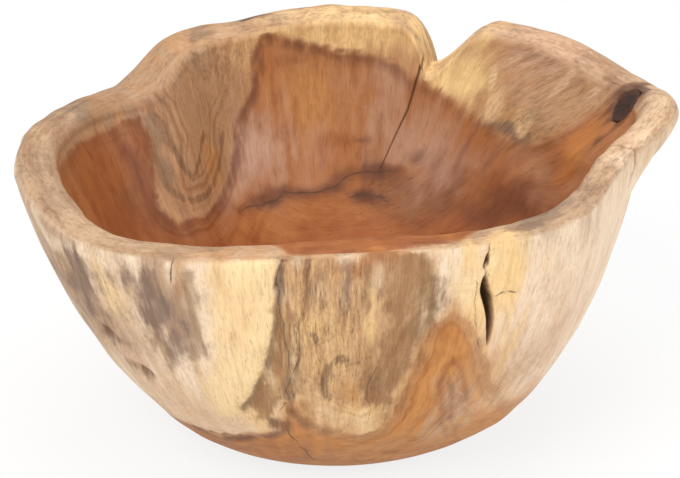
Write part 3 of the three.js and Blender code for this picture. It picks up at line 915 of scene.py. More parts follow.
HEARTWOOD_WASHES = (
    in_hollow("left pocket", Wood.RUST, 0.9, 168, 112, 54, 46),
    in_hollow("dark of the pocket", Wood.PLUM, 0.4, 152, 108, 10, 36),
    in_hollow("glow of the pocket", Wood.ORANGE, 0.5, 178, 122, 14, 24),
    in_hollow("tan back", Wood.TAN, 0.55, 95, 138, 46, 34),
    in_hollow("orange back", Wood.ORANGE, 0.35, 97, 130, 34, 28),
    in_hollow("honey of the back", Wood.HONEY, 0.55, 97, 138, 18, 24),
    # Painted sheen: the pale washes here and below stand for the satin reflection on the hollow's back and
    # right walls.
    in_hollow("painted sheen left of the crack", Wood.SHEEN, 0.45, 77, 138, 12, 24),
    in_hollow("painted sheen of the wall", Wood.SHEEN, 0.95, 115, 103, 34, 22),
    in_hollow("painted sheen of the wall right of the crack", Wood.SHEEN, 0.55, 66, 114, 26, 22),
    in_hollow("band of painted sheen", Wood.SHEEN, 0.35, 54, 99, 28, 9),
    in_hollow("low right wall", Wood.RED, 0.9, 34, 86, 44, 22),
    in_hollow("dark low right wall", Wood.PLUM, 0.78, 33, 82, 62, 20),
    in_hollow("dark under the crack", Wood.UMBER, 0.6, 67, 79, 26, 13),
    in_hollow("rust under the crack", Wood.RUST, 0.7, 69, 72, 16, 8),
    # Painted sheen: a pale wash that stands for the reflection on the right wall.
    in_hollow("painted sheen of the right wall", Wood.SHEEN, 0.3, 24, 118, 40, 14),
    in_hollow("red right wall", Wood.RED, 0.45, 20, 120, 16, 18),
    in_hollow("orange left floor", Wood.ORANGE, 0.5, 116, 62, 22, 9),
    in_hollow("brown lines of the back", Wood.RUST, 0.5, 91, 109, 15, 5),
    in_hollow("glow by the knot", Wood.ORANGE, 0.85, 18, 146, 12, 22),
    in_hollow("dark round the knot", Wood.PLUM, 0.9, 13.4, 170, 16, 11.5),
    in_hollow("char round the knot", Wood.CHAR, 0.85, 13.2, 171, 13.5, 10.5),
    in_hollow("floor", Wood.SIENNA, 0.9, 90, 42, 300, 38),
    in_hollow("orange floor", Wood.ORANGE, 0.4, 104, 72, 44, 9),
    in_hollow("smudge at the crack's foot", Wood.PLUM, 0.8, 74, 93, 14, 6),
    in_hollow("second smudge", Wood.PLUM, 0.6, 66.4, 103, 6, 4),
    in_hollow("level mark", Wood.PLUM, 0.5, 82.6, 110, 7, 2),
    in_hollow("red mark of the back", Wood.RED, 0.5, 101, 158, 12, 3),
    in_hollow("second level mark", Wood.PLUM, 0.95, 79.6, 80, 11, 3.6),
    Ribbon(
        "floor line's shade", IN, Wood.PLUM, 0.8, 4.2,
        ((119.7, 77), (106, 82), (94, 82), (88.6, 85), (83.5, 91), (71, 95)),
    ),
    on_outside("tan bottom", Wood.TAN, 0.5, 292, 26, 70, 24),
    on_outside("red left heel", Wood.BROWN, 0.85, 240, 28, 46, 16),
    on_outside("core of the arch", Wood.DUN, 0.9, 297.4, 74, 10, 24),
    on_outside("pale heel of the arch", Wood.DUN, 0.5, 302, 42, 12, 10),
    on_outside("right of the arch", Wood.BEIGE, 0.6, 312, 68, 22, 16),
    Ribbon(
        "inner arch", OUT, Wood.RUST, 0.55, 1.7,
        ((297.6, 52), (294.8, 74), (293, 92), (292.8, 102), (294, 107), (296.4, 99), (298.7, 85), (301, 71)),
    ),
    Ribbon("stroke in the arch", OUT, Wood.RED, 0.5, 1.5, ((299.4, 56), (297.4, 70), (296, 86))),
    on_rim("rust of the front rim", Wood.RUST, 0.85, 276, 4, 80, 24),
)

HEARTWOOD_LINE_INSIDE = (
    (12, 177), (18.3, 166), (20, 161), (21.4, 156), (23.8, 150), (26.2, 144), (29.7, 136),
    (34, 128), (39, 126), (44, 125), (49, 127), (52, 131), (57, 137), (60, 141), (63, 144),
    (65.6, 145), (68.3, 147), (71, 150), (73.7, 155), (77.5, 157), (81.4, 160), (84, 163),
    (87.4, 163), (93.6, 166), (98.6, 169), (103.5, 172), (108, 176), (109.8, 170), (110.4, 158),
    (112.2, 140), (117.5, 126), (119.4, 114), (120.6, 106), (124, 97), (127.3, 91), (132, 87.5),
    (137, 86), (142, 86.5), (147, 88), (149.4, 92), (150.2, 98), (149.6, 108), (148.2, 120),
    (146.4, 133), (146.6, 148), (149.6, 147), (155, 146), (162, 147), (167, 150), (172, 151),
    (179, 153), (205, 158), (225, 164), (250, 170), (270, 176), (285, 176), (300, 170), (320, 167),
    (340, 168), (356, 172), (372, 177),
)
HEARTWOOD_LINE_OUTSIDE = (
    (0, 36), (40, 46), (80, 38), (120, 52), (150, 36), (180, 28), (205, 33), (224, 37), (235, 41),
    (242, 44), (248, 47), (254, 52), (257.5, 58), (259.4, 70), (260.6, 76), (262, 67), (266.6, 59),
    (271.4, 54), (276.6, 51), (281, 54), (283.4, 66), (284.6, 82), (285.8, 102), (286.6, 122),
    (288.4, 133), (291.6, 139), (295, 134), (298.4, 121), (301.6, 104), (304.6, 88), (309, 74),
    (316, 58), (322, 48), (330, 40), (340, 36), (360, 36),
)

HEARTWOOD_LINE_RIM = (
    (226, 30), (244, 22), (252, 14), (258, 6), (261, -2), (263, -6), (267, -9), (271, -11),
    (275, -13), (278, -13), (280.4, -8), (286, -5), (292, -3), (296, 4), (302, 16), (312, 30),
)

FIRST_LINES = (
    Trace(
        "floor line", IN,
        ((119.7, 77), (113, 78), (106, 82), (94, 82), (88.6, 85), (83.5, 91), (71, 95)),
        0.7, 0.9,
    ),
    Trace(
        "main seam", OUT,
        ((265.4, 180), (265.6, 156), (264.6, 144), (263.8, 128), (262.8, 111), (260.7, 99), (259.8, 83),
         (257.2, 72), (255.8, 57)),
        0.25, 0.75, depth=1.1,
    ),
    Trace("line by the slot", OUT, ((294.8, 157), (297, 132), (298.7, 114)), 0.5, 0.5),
    Trace("front line", OUT, ((278.6, 106), (277.4, 84), (277.6, 60)), 0.4, 0.7, depth=0.5),
)
SECOND_LINES = (
    Trace("floor slit", IN, ((84.5, 80), (80, 80.5), (74.7, 80)), 1.3, 0.8),
    Trace(
        "second seam", OUT,
        ((261.4, 182), (260.8, 160), (261.2, 148), (260.7, 127), (261, 106)),
        0.25, 0.8, depth=1.0,
    ),
    Trace("crack over the slot", OUT, ((296.8, 180), (296.2, 168), (297, 158)), 0.6, 0.8, depth=0.8),
    Trace("slot's side crack", OUT, ((299.8, 144.5), (303, 142)), 0.6, 0.8, depth=1.2),
    Trace("heel line", OUT, ((258.6, 57), (259, 44), (261, 32), (263, 21)), 0.35, 1.4),
    Trace("left rim crack", OUT, ((242.8, 173), (241.6, 157)), 0.5, 0.9, depth=1.2),
)


@dataclass(frozen=True)
class CreamStrip:
    """The pale strip down the left of the front, which stands proud of the rough wood beside it."""

    sharp_edge: tuple[tuple[float, float], ...] = (
        (244.6, 58), (247.8, 68), (250.9, 79), (253.6, 93), (255.7, 105), (258, 124), (259.6, 140),
        (259.6, 153), (260.6, 172), (260.6, 185),
    )
    soft_edge: tuple[tuple[float, float], ...] = (
        (241, 60), (242.7, 91), (246.3, 115), (247.6, 143), (249.2, 168),
    )
    softness: float = 11.0
    proud: float = 1.1
    recess: float = 2.2
    foot_band: tuple[float, float] = (54.0, 66.0)
    lift_band: tuple[float, float] = (54.0, 76.0)
    edge_half_width: float = 0.7
    step_half_width: float = 0.9
    ridge_band: tuple[float, float] = (4.0, 26.0)
    trough_band: tuple[float, float] = (3.0, 14.0)

    def edge_gap(self, surface: RootSurface) -> Array:
        """Millimetres to the left of the sharp edge."""
        angles, heights = zip(*self.sharp_edge)
        edge = np.interp(surface.height, heights, angles)
        return -np.radians(turn_between(edge, surface.angle)) * surface.radius

    def mask(self, surface: RootSurface) -> Array:
        """How far each point belongs to the strip."""
        angles, heights = zip(*self.soft_edge)
        soft = np.interp(surface.height, heights, angles)
        inward = np.radians(turn_between(soft, surface.angle)) * surface.radius
        ends = smooth_rise(surface.height, *self.foot_band)
        sharp = smooth_rise(self.edge_gap(surface), -self.edge_half_width, self.edge_half_width)
        return sharp * smooth_rise(inward, -self.softness / 2, self.softness) * ends * surface.outside

    def lift(self, surface: RootSurface) -> Array:
        """Millimetres that the surface stands out: up along the edge, down in the rough wood beside it."""
        gap = self.edge_gap(surface)
        fade = smooth_rise(surface.height, *self.lift_band) * surface.outside
        step = smooth_rise(gap, -self.step_half_width, self.step_half_width)
        ridge = self.proud * step * (1.0 - smooth_rise(gap, *self.ridge_band))
        trough = self.recess * (1.0 - step) * (1.0 - smooth_rise(-gap, *self.trough_band))
        return (ridge - trough) * fade


@dataclass(frozen=True)
class DryingCrack:
    """The split that runs on from the notch down the hollow's wall."""

    angle: float = 68.0
    foot: float = 92.0
    top: float = 155.0
    half_width: float = 0.75
    foot_half_width: float = 0.45
    depth: float = 2.4
    foot_depth: float = 0.9
    foot_band: tuple[float, float] = (-3.0, 6.0)
    rim_band: tuple[float, float] = (4.0, 12.0)

    def press(self, surface: RootSurface) -> Array:
        """Millimetres pressed in: a V whose width and depth grow towards the notch."""
        share = np.clip((surface.height - self.foot) / (self.top - self.foot), 0.0, 1.0)
        half = self.foot_half_width + (self.half_width - self.foot_half_width) * share
        depth = self.foot_depth + (self.depth - self.foot_depth) * share
        v = np.clip(1.0 - np.abs(surface.column_across(self.angle)) / half, 0.0, 1.0)
        reach = smooth_rise(surface.height - self.foot, *self.foot_band)
        return v * depth * reach * smooth_rise(surface.over, *self.rim_band)


@dataclass(frozen=True)
class RottedSlot:
    """The slot in the front wall, with the small hole over it.

    Its outline is given by heights, and the edge to the left and right of its leaning middle at each.
    """

    angle: float = 298.5
    heights: tuple[float, ...] = (112, 116, 124, 131, 138, 144, 148, 153, 157, 160)
    left: tuple[float, ...] = (0.0, 1.0, 1.3, 1.7, 1.9, 2.6, 3.4, 3.5, 1.8, 0.0)
    right: tuple[float, ...] = (0.0, 1.1, 2.2, 2.9, 3.0, 3.4, 2.2, 1.5, 0.9, 0.0)
    depth: float = 11.5
    hole_angle: float = 296.9
    hole_height: float = 168.0
    hole_half_width: float = 1.4
    hole_half_height: float = 4.0
    hole_depth: float = 4.0
    dark_band: tuple[float, float] = (-0.5, 0.7)
    wall_band: tuple[float, float] = (-0.2, 1.6)
    hole_dark_band: tuple[float, float] = (0.75, 1.15)
    hole_wall_band: tuple[float, float] = (0.3, 1.0)

    def inside_edge(self, surface: RootSurface) -> Array:
        """Millimetres inside the slot's outline, negative outside it."""
        across = surface.column_across(self.angle)
        left = np.interp(surface.height, self.heights, self.left)
        right = np.interp(surface.height, self.heights, self.right)
        return np.where(across < 0, left + across, right - across)

    def hole_share(self, surface: RootSurface) -> Array:
        """Elliptical distance from the small hole's middle, one on its edge."""
        x = surface.across(self.hole_angle) / self.hole_half_width
        return np.hypot(x, (surface.height - self.hole_height) / self.hole_half_height)

    def mask(self, surface: RootSurface) -> Array:
        """How far each point lies in the slot or the hole."""
        slot = smooth_rise(self.inside_edge(surface), *self.dark_band)
        hole = 1.0 - smooth_rise(self.hole_share(surface), *self.hole_dark_band)
        return self.joined(surface, slot, hole)

    def press(self, surface: RootSurface) -> Array:
        """Millimetres pressed in: steep walls and a rounded bottom."""
        slot = smooth_rise(self.inside_edge(surface), *self.wall_band)
        hole = 1.0 - smooth_rise(self.hole_share(surface), *self.hole_wall_band)
        return self.joined(surface, self.depth * slot, self.hole_depth * hole)

    def joined(self, surface: RootSurface, slot: Array, hole: Array) -> Array:
        """The larger of the slot, between its lowest and highest point, and the hole."""
        in_reach = (surface.height > self.heights[0]) & (surface.height < self.heights[-1])
        return np.maximum(slot * in_reach, hole) * surface.outside


@dataclass(frozen=True)
class Dimple:
    """A shallow hollow or swelling of the outer wall. A swelling's depth is negative."""

    angle: float
    height: float
    wide: float
    tall: float
    depth: float

    def press(self, surface: RootSurface) -> Array:
        """Millimetres pressed in: an elliptical bell."""
        x, y = surface.across(self.angle) / self.wide, (surface.height - self.height) / self.tall
        return self.depth * np.exp(-(x**2 + y**2)) * surface.outside


DIMPLES = (
    Dimple(218.2, 99, 7, 6.5, 4.0),
    Dimple(224.2, 80, 7.5, 5, 4.0),
    Dimple(222.8, 90, 7, 5, -1.6),
    Dimple(219, 111, 9, 6, -1.2),
    Dimple(270, 98, 9, 14, 1.2),
    Dimple(289, 92, 12, 30, 0.9),
    Dimple(205, 128, 8, 24, 1.2),
    Dimple(237, 120, 8, 34, 0.9),
    Dimple(330, 110, 20, 40, 1.0),
    Dimple(30, 100, 10, 30, 1.8),
    Dimple(75, 110, 9, 40, 1.5),
    Dimple(118, 104, 9, 36, 1.6),
    Dimple(160, 108, 10, 30, 1.5),
)


@dataclass(frozen=True)
class KnotPlace:
    """Where the dead knot sits in the rim's inner slope, and the sizes of its oval face."""

    angle: float = 13.0
    over: float = 17.5
    half_width: float = 9.5
    half_length: float = 10.5
    gap: float = 0.15
    socket_depth: float = 7.0
    tilt: float = 40.0
    near_turn: float = 12.0
    wall_band: tuple[float, float] = (0.96, 1.04)

    def socket(self, surface: RootSurface) -> Array:
        """Millimetres pressed in for the knot's socket: a flat bottom and steep walls."""
        x = surface.across(self.angle) / (self.half_width + self.gap)
        y = (surface.over - self.over) / (self.half_length + self.gap)
        is_near = (surface.over > 0) & (np.abs(turn_between(self.angle, surface.angle)) < self.near_turn)
        return self.socket_depth * (1.0 - smooth_rise(np.hypot(x, y), *self.wall_band)) * is_near


class Shade:
    """A shader socket that takes part in Python expressions."""

    def __init__(self, book: "NodeBook", socket: bpy.types.NodeSocket) -> None:
        """Keeps the socket and the book of nodes that it belongs to."""
        self.book = book
        self.socket = socket

    def __add__(self, other: Any) -> "Shade":
        """Sum."""
        return self.book.maths("ADD", self, other)

    def __radd__(self, other: Any) -> "Shade":
        """Sum with a plain number first."""
        return self.book.maths("ADD", other, self)

    def __sub__(self, other: Any) -> "Shade":
        """Difference."""
        return self.book.maths("SUBTRACT", self, other)

    def __rsub__(self, other: Any) -> "Shade":
        """Difference from a plain number."""
        return self.book.maths("SUBTRACT", other, self)

    def __mul__(self, other: Any) -> "Shade":
        """Product."""
        return self.book.maths("MULTIPLY", self, other)

    def __rmul__(self, other: Any) -> "Shade":
        """Product with a plain number first."""
        return self.book.maths("MULTIPLY", other, self)

    def __truediv__(self, other: Any) -> "Shade":
        """Quotient."""
        return self.book.maths("DIVIDE", self, other)

    def __pow__(self, other: Any) -> "Shade":
        """Power."""
        return self.book.maths("POWER", self, other)

    def __abs__(self) -> "Shade":
        """Size without sign."""
        return self.book.maths("ABSOLUTE", self)

    def between(self, low: float, high: float) -> "Shade":
        """Zero up to the low value and one from the high value on, smooth between them."""
        return self.book.shade(
            "ShaderNodeMapRange",
            {"interpolation_type": "SMOOTHSTEP"},
            {"Value": self, "From Min": low, "From Max": high},
        )


class NodeBook:
    """The nodes of one material."""

    def __init__(self, name: str) -> None:
        """Starts a material with an empty node tree."""
        self.material = bpy.data.materials.new(name)
        self.material.use_nodes = True
        self.tree = self.material.node_tree
        self.tree.nodes.clear()

    def node(self, kind: str, settings: dict[str, Any], sockets: dict[SocketKey, Any]) -> bpy.types.Node:
        """Adds a node.

        Args:
            kind: The node's type.
            settings: Its settings, which are set before its sockets.
            sockets: Values or links of its inputs, by name, identifier or place.

        Returns:
            The node.
        """
        node = self.tree.nodes.new(kind)
        for key, value in settings.items():
            setattr(node, key, value)
        for key, value in sockets.items():
            socket = self.find(node.inputs, key)
            if isinstance(value, Shade):
                self.tree.links.new(value.socket, socket)
            elif isinstance(value, bpy.types.NodeSocket):
                self.tree.links.new(value, socket)
            else:
                socket.default_value = value
        return node

    @staticmethod
    def find(sockets: Any, key: SocketKey) -> bpy.types.NodeSocket:
        """A socket by its place, identifier or name."""
        if isinstance(key, int):
            return sockets[key]
        return next((socket for socket in sockets if socket.identifier == key), None) or sockets[key]

    def shade(
        self, kind: str, settings: dict[str, Any], sockets: dict[SocketKey, Any], output: SocketKey = 0
    ) -> Shade:
        """Adds a node and gives one of its outputs."""
        return Shade(self, self.find(self.node(kind, settings, sockets).outputs, output))

    def maths(self, operation: str, *values: Any) -> Shade:
        """Adds a Math node."""
        return self.shade("ShaderNodeMath", {"operation": operation}, dict(enumerate(values)))

    def attribute(self, name: str, output: str = "Fac") -> Shade:
        """One of the mesh's own attributes."""
        return self.shade("ShaderNodeAttribute", {"attribute_name": name}, {}, output)

    def stretched(self, vector: Shade, lengths: tuple[float, float, float], start: float) -> Shade:
        """A vector in millimetres, divided by the length of a pattern each way, from a start of its own."""
        pace = tuple(1.0 / length for length in lengths)
        return self.shade(
            "ShaderNodeVectorMath",
            {"operation": "MULTIPLY_ADD"},
            {0: vector, 1: pace, 2: (start, start, start)},
        )

    def noise(self, vector: Shade, detail: float = 2.0, roughness: float = 0.55) -> Shade:
        """Cloudy noise from 0 to 1, about one lump to each unit."""
        return self.shade(
            "ShaderNodeTexNoise",
            {},
            {"Vector": vector, "Scale": 1.0, "Detail": detail, "Roughness": roughness},
        )

    def noise_along(self, place: Shade, detail: float = 2.0) -> Shade:
        """Noise on a line, from 0 to 1."""
        return self.shade(
            "ShaderNodeTexNoise", {"noise_dimensions": "1D"}, {"W": place, "Scale": 1.0, "Detail": detail}
        )

    def mix(self, share: Any, first: Any, second: Any, mode: str = "MIX") -> Shade:
        """Mixes two colours."""
        return self.shade(
            "ShaderNodeMix",
            {"data_type": "RGBA", "blend_type": mode, "clamp_factor": True},
            {"Factor_Float": share, "A_Color": first, "B_Color": second},
            "Result_Color",
        )

    def bump(self, relief: Shade, strength: float, depth: float) -> Shade:
        """Normals of a fine relief, whose depth is in metres."""
        return self.shade("ShaderNodeBump", {}, {"Strength": strength, "Distance": depth, "Height": relief})

    def end(self, shader: bpy.types.NodeSocket) -> bpy.types.Material:
        """Puts a shader on the surface and gives the material."""
        self.node("ShaderNodeOutputMaterial", {}, {"Surface": shader})
        return self.material


def rgba(colour: Array) -> tuple[float, float, float, float]:
    """A colour for a socket."""
    return (*(float(part) for part in colour), 1.0)


@dataclass(frozen=True)
class Lumps:
    """Size of a noise's lumps in millimetres, across and along the fibre, and how finely they break up."""

    across: float
    along: float
    detail: float = 3.0
    roughness: float = 0.55
    start: float = 0.0


class Grain:
    """Noises that follow the fibre: up the walls, along the rim and across the floor."""

    def __init__(self, book: NodeBook) -> None:
        """Finds the mesh's attributes that give the fibre's way."""
        self.book = book
        self.up_way = book.attribute("fibre", "Vector")
        self.cross_way = book.attribute("cross_fibre", "Vector")
        self.crosswise = book.attribute("crosswise")

    def noise(self, lumps: Lumps) -> Shade:
        """Noise from 0 to 1 with lumps of a size."""
        upright = (lumps.across, lumps.across, lumps.along)
        lying = (lumps.across, lumps.along, lumps.along)
        up, cross = (
            self.book.noise(self.book.stretched(way, lengths, lumps.start), lumps.detail, lumps.roughness)
            for way, lengths in ((self.up_way, upright), (self.cross_way, lying))
        )
        return up + (cross - up) * self.crosswise


@dataclass(frozen=True)
class RootWoodFinish:
    """Sanded and lightly oiled root wood: sapwood and heartwood with fibre, rings, pores and dark lines."""

    name: str = "root_wood"
    cloud: Lumps = Lumps(26.0, 44.0, detail=3.0)
    mottle: Lumps = Lumps(7.5, 15.0, detail=3.0, roughness=0.5, start=7.0)
    fleck: Lumps = Lumps(1.7, 3.2, detail=3.0, roughness=0.6, start=19.0)
    worm: Lumps = Lumps(2.0, 17.0, detail=5.0, roughness=0.65, start=57.0)
    streak: Lumps = Lumps(4.2, 34.0, detail=4.0, roughness=0.6, start=31.0)
    fibre: Lumps = Lumps(0.9, 9.0, detail=2.0)
    pore: Lumps = Lumps(0.5, 6.0, detail=1.0, start=43.0)
    ring_pace: float = 4.2
    roughness: float = 0.62
    satin: float = 0.2
    specular: float = 0.3
    bump_depth: float = 0.0006

    def material(self) -> bpy.types.Material:
        """Builds the finish from the bowl's attributes.

        Returns:
            The material.
        """
        book = NodeBook(self.name)
        grain = Grain(book)
        cloud, mottle, fleck = (grain.noise(lumps) for lumps in (self.cloud, self.mottle, self.fleck))
        streak, fibre = (grain.noise(lumps) for lumps in (self.streak, self.fibre))
        pore, worm = (grain.noise(lumps) for lumps in (self.pore, self.worm))
        weathered = book.attribute("weathered")
        porous = book.attribute("porous")

        stain_cut = book.attribute("stain") + (mottle - 0.5) * 1.1
        stain_cut = stain_cut + (streak - 0.5) * 0.7 + (fleck - 0.5) * 0.3
        uneven = ((mottle + streak) * 1.5 - 0.75).between(0.0, 1.0) * 0.6 + 0.45
        stain = stain_cut.between(0.18, 0.84) * book.attribute("stain_colour", "Alpha") * uneven
        sap = book.mix(stain, book.attribute("sap_colour", "Color"), book.attribute("stain_colour", "Color"))
        worn = (mottle + (cloud - 0.5) * 0.8 + (fleck - 0.5) * 0.4).between(0.44, 0.74)
        sap = book.mix(worn * weathered * 0.7, sap, rgba(Wood.GREY.linear))
        bleached = ((fleck - 0.5) * 0.6 + (1.0 - mottle)).between(0.5, 0.78)
        sap = book.mix(bleached * weathered * 0.2, sap, rgba(Wood.IVORY.linear))

        heart = book.attribute("heart_colour", "Color")
        heart = book.mix(cloud.between(0.42, 0.72) * 0.4, heart, rgba(Wood.ORANGE.linear))
        heart = book.mix(mottle.between(0.46, 0.76) * 0.3, heart, rgba(Wood.BROWN.linear), "MULTIPLY")
        soft = book.attribute("edge_soft")
        boundary = book.attribute("heart") + (cloud - 0.5) * 7.0 + (mottle - 0.5) * 2.0 + (fleck - 0.5) * 0.8
        in_heart = (boundary / soft).between(-1.0, 1.0)
        colour = book.mix(in_heart, sap, heart)

        ring_place = (book.attribute("heart") + (cloud - 0.5) * 9.0 + (mottle - 0.5) * 3.0) / self.ring_pace
        ring = book.noise_along(ring_place, 2.0).between(0.42, 0.7)
        colour = book.mix(ring * book.attribute("figure"), colour, rgba(Wood.TAN.linear * 0.9), "MULTIPLY")
        colour = book.mix(cloud.between(0.5, 0.75) * 0.2, colour, rgba(Wood.HONEY.linear), "MULTIPLY")
        streaky = streak.between(0.44, 0.68) * (weathered * 0.22 + 0.2 - in_heart * 0.06)
        colour = book.mix(streaky, colour, rgba(Wood.BEIGE.linear * 0.8), "MULTIPLY")
        colour = book.mix(fibre.between(0.46, 0.68) * 0.2, colour, rgba(Wood.TAN.linear), "MULTIPLY")
        speckle = fleck.between(0.42, 0.72) * (weathered * 0.4 + 0.06)
        colour = book.mix(speckle * (1.0 - in_heart * 0.6), colour, rgba(Wood.GREY.linear), "MULTIPLY")

        pits = pore.between(0.62, 0.78) * (porous * 0.4 + 0.28)
        colour = book.mix(pits, colour, rgba(Wood.UMBER.linear * 0.8), "MULTIPLY")
        colour = book.mix((1.0 - worm).between(0.5, 0.68) * porous * 0.5, colour, rgba(Wood.YELLOW.linear))
        colour = book.mix(worm.between(0.53, 0.68) * porous * 0.8, colour, rgba(Wood.UMBER.linear))
        edge = (1.0 - abs(boundary - 3.0).between(0.0, 6.0)) * book.attribute("edge_dark")
        colour = book.mix(edge * mottle.between(0.3, 0.55), colour, rgba(Wood.PLUM.linear))
        lines = self.line(book, "first_line", fleck, mottle) + self.line(book, "second_line", fleck, mottle)
        colour = book.mix(lines, colour, rgba(Wood.UMBER.linear * 0.6))
        hollow = book.attribute("hollow")
        colour = book.mix(hollow, colour, rgba(Wood.UMBER.linear))

        satin = book.attribute("satin") * self.satin
        roughness = (fibre - 0.5) * 0.2 + (porous * 0.15 + self.roughness) - satin + hollow * 0.3
        relief = (fibre - 0.5) * (porous + 0.2) - pits * 0.8
        relief = relief + (streak - 0.5) * 0.15 + (mottle - 0.5) * weathered * 0.8
        normal = book.bump(relief, 0.6, self.bump_depth)
        shader = book.node(
            "ShaderNodeBsdfPrincipled",
            {},
            {
                "Base Color": colour,
                "Roughness": roughness,
                "Normal": normal,
                "IOR": 1.45,
                "Specular IOR Level": self.specular,
            },
        )
        return book.end(shader.outputs["BSDF"])

    @staticmethod
    def line(book: NodeBook, name: str, fleck: Shade, mottle: Shade) -> Shade:
        """Darkness of a set of thin lines, wavering and a little broken."""
        gap = abs(book.attribute(name) + (fleck - 0.5) * 3.0)
        return (1.0 - gap.between(0.1, 1.3)) * book.attribute(f"{name}_weight") * mottle.between(0.34, 0.5)


@dataclass(frozen=True)
class KnotWoodFinish:
    """Dead branch wood: nearly black, browner towards its edge, with short checks."""

    name: str = "knot_wood"
    roughness: float = 0.62
    bump_depth: float = 0.0008

    def material(self) -> bpy.types.Material:
        """Builds the finish from the knot's attributes.

        Returns:
            The material.
        """
        book = NodeBook(self.name)
        place = book.attribute("face", "Vector")
        reach = book.attribute("reach")
        cloud = book.noise(book.stretched(place, (3.0, 3.0, 3.0), 0.0), 3.0)
        fine = book.noise(book.stretched(place, (0.6, 0.6, 2.0), 0.0), 2.0)
        black, brown = rgba(Wood.CHAR.linear * 0.9), rgba(Wood.PLUM.linear * 0.45)
        colour = book.mix(cloud.between(0.35, 0.7), black, brown)
        colour = book.mix(reach.between(0.5, 1.2), colour, rgba(Wood.PLUM.linear * 0.7))
        colour = book.mix(book.attribute("check") * 0.2, colour, rgba(Wood.CHAR.linear * 0.5))
        relief = (fine - 0.5) * 0.5 + (cloud - 0.5) * 0.5
        normal = book.bump(relief, 0.7, self.bump_depth)
        roughness = (fine - 0.5) * 0.2 + self.roughness
        shader = book.node(
            "ShaderNodeBsdfPrincipled",
            {},
            {"Base Color": colour, "Roughness": roughness, "Normal": normal, "IOR": 1.45},
        )
        return book.end(shader.outputs["BSDF"])


def grid_faces(rows: int, columns: int) -> tuple[Array, Array]:
    """Faces of a grid that closes round its columns and has a pole at each end.

    Args:
        rows: Number of rings.
        columns: Number of points in each ring.

    Returns:
        The quads' corners, and the corners of the triangles at the first and last pole. The poles are
        the two points after the grid's own.
    """
    place = np.arange(rows * columns).reshape(rows, columns)
    beside = np.roll(place, -1, axis=1)
    quads = np.stack([place[:-1], beside[:-1], beside[1:], place[1:]], axis=-1).reshape(-1, 4)
    first_pole = np.full(columns, rows * columns)
    start = np.stack([first_pole, beside[0], place[0]], axis=-1)
    end = np.stack([first_pole + 1, place[-1], beside[-1]], axis=-1)
    return quads, np.concatenate([start, end])


def closed_mesh(name: str, grid: Array, poles: Array, attributes: dict[str, Array]) -> bpy.types.Object:
    """Makes a smooth mesh object from a grid of points with a pole at each end.

    Args:
        name: Name of the piece.
        grid: Points in millimetres, shaped rows by columns by three.
        poles: The two end points in millimetres.
        attributes: Values over the grid, one number, three (a vector) or four (a colour) each. A pole
            takes the mean of the ring beside it.

    Returns:
        The object, at the origin.
    """
    rows, columns = grid.shape[:2]
    quads, triangles = grid_faces(rows, columns)
    points = np.concatenate([grid.reshape(-1, 3), poles]) * METRES
    mesh = bpy.data.meshes.new(name)
    mesh.vertices.add(len(points))
    mesh.vertices.foreach_set("co", points.astype(np.float32).ravel())
    corners = np.concatenate([quads.ravel(), triangles.ravel()]).astype(np.int32)
    counts = np.concatenate([np.full(len(quads), 4), np.full(len(triangles), 3)])
    starts = np.concatenate([[0], np.cumsum(counts)[:-1]]).astype(np.int32)
    mesh.loops.add(len(corners))
    mesh.loops.foreach_set("vertex_index", corners)
    mesh.polygons.add(len(counts))
    mesh.polygons.foreach_set("loop_start", starts)
    mesh.polygons.foreach_set("use_smooth", np.ones(len(counts), dtype=bool))
    mesh.update(calc_edges=True)
    mesh.validate()
    kinds = {1: ("FLOAT", "value"), 3: ("FLOAT_VECTOR", "vector"), 4: ("FLOAT_COLOR", "color")}
    for key, values in attributes.items():
        values = values.reshape(rows, columns, -1)
        ends = np.stack([values[0].mean(axis=0), values[-1].mean(axis=0)])
        flat = np.concatenate([values.reshape(rows * columns, -1), ends]).astype(np.float32)
        kind, slot = kinds[flat.shape[1]]
        mesh.attributes.new(key, kind, "POINT").data.foreach_set(slot, flat.ravel())
    piece = bpy.data.objects.new(name, mesh)
    bpy.context.collection.objects.link(piece)
    return piece


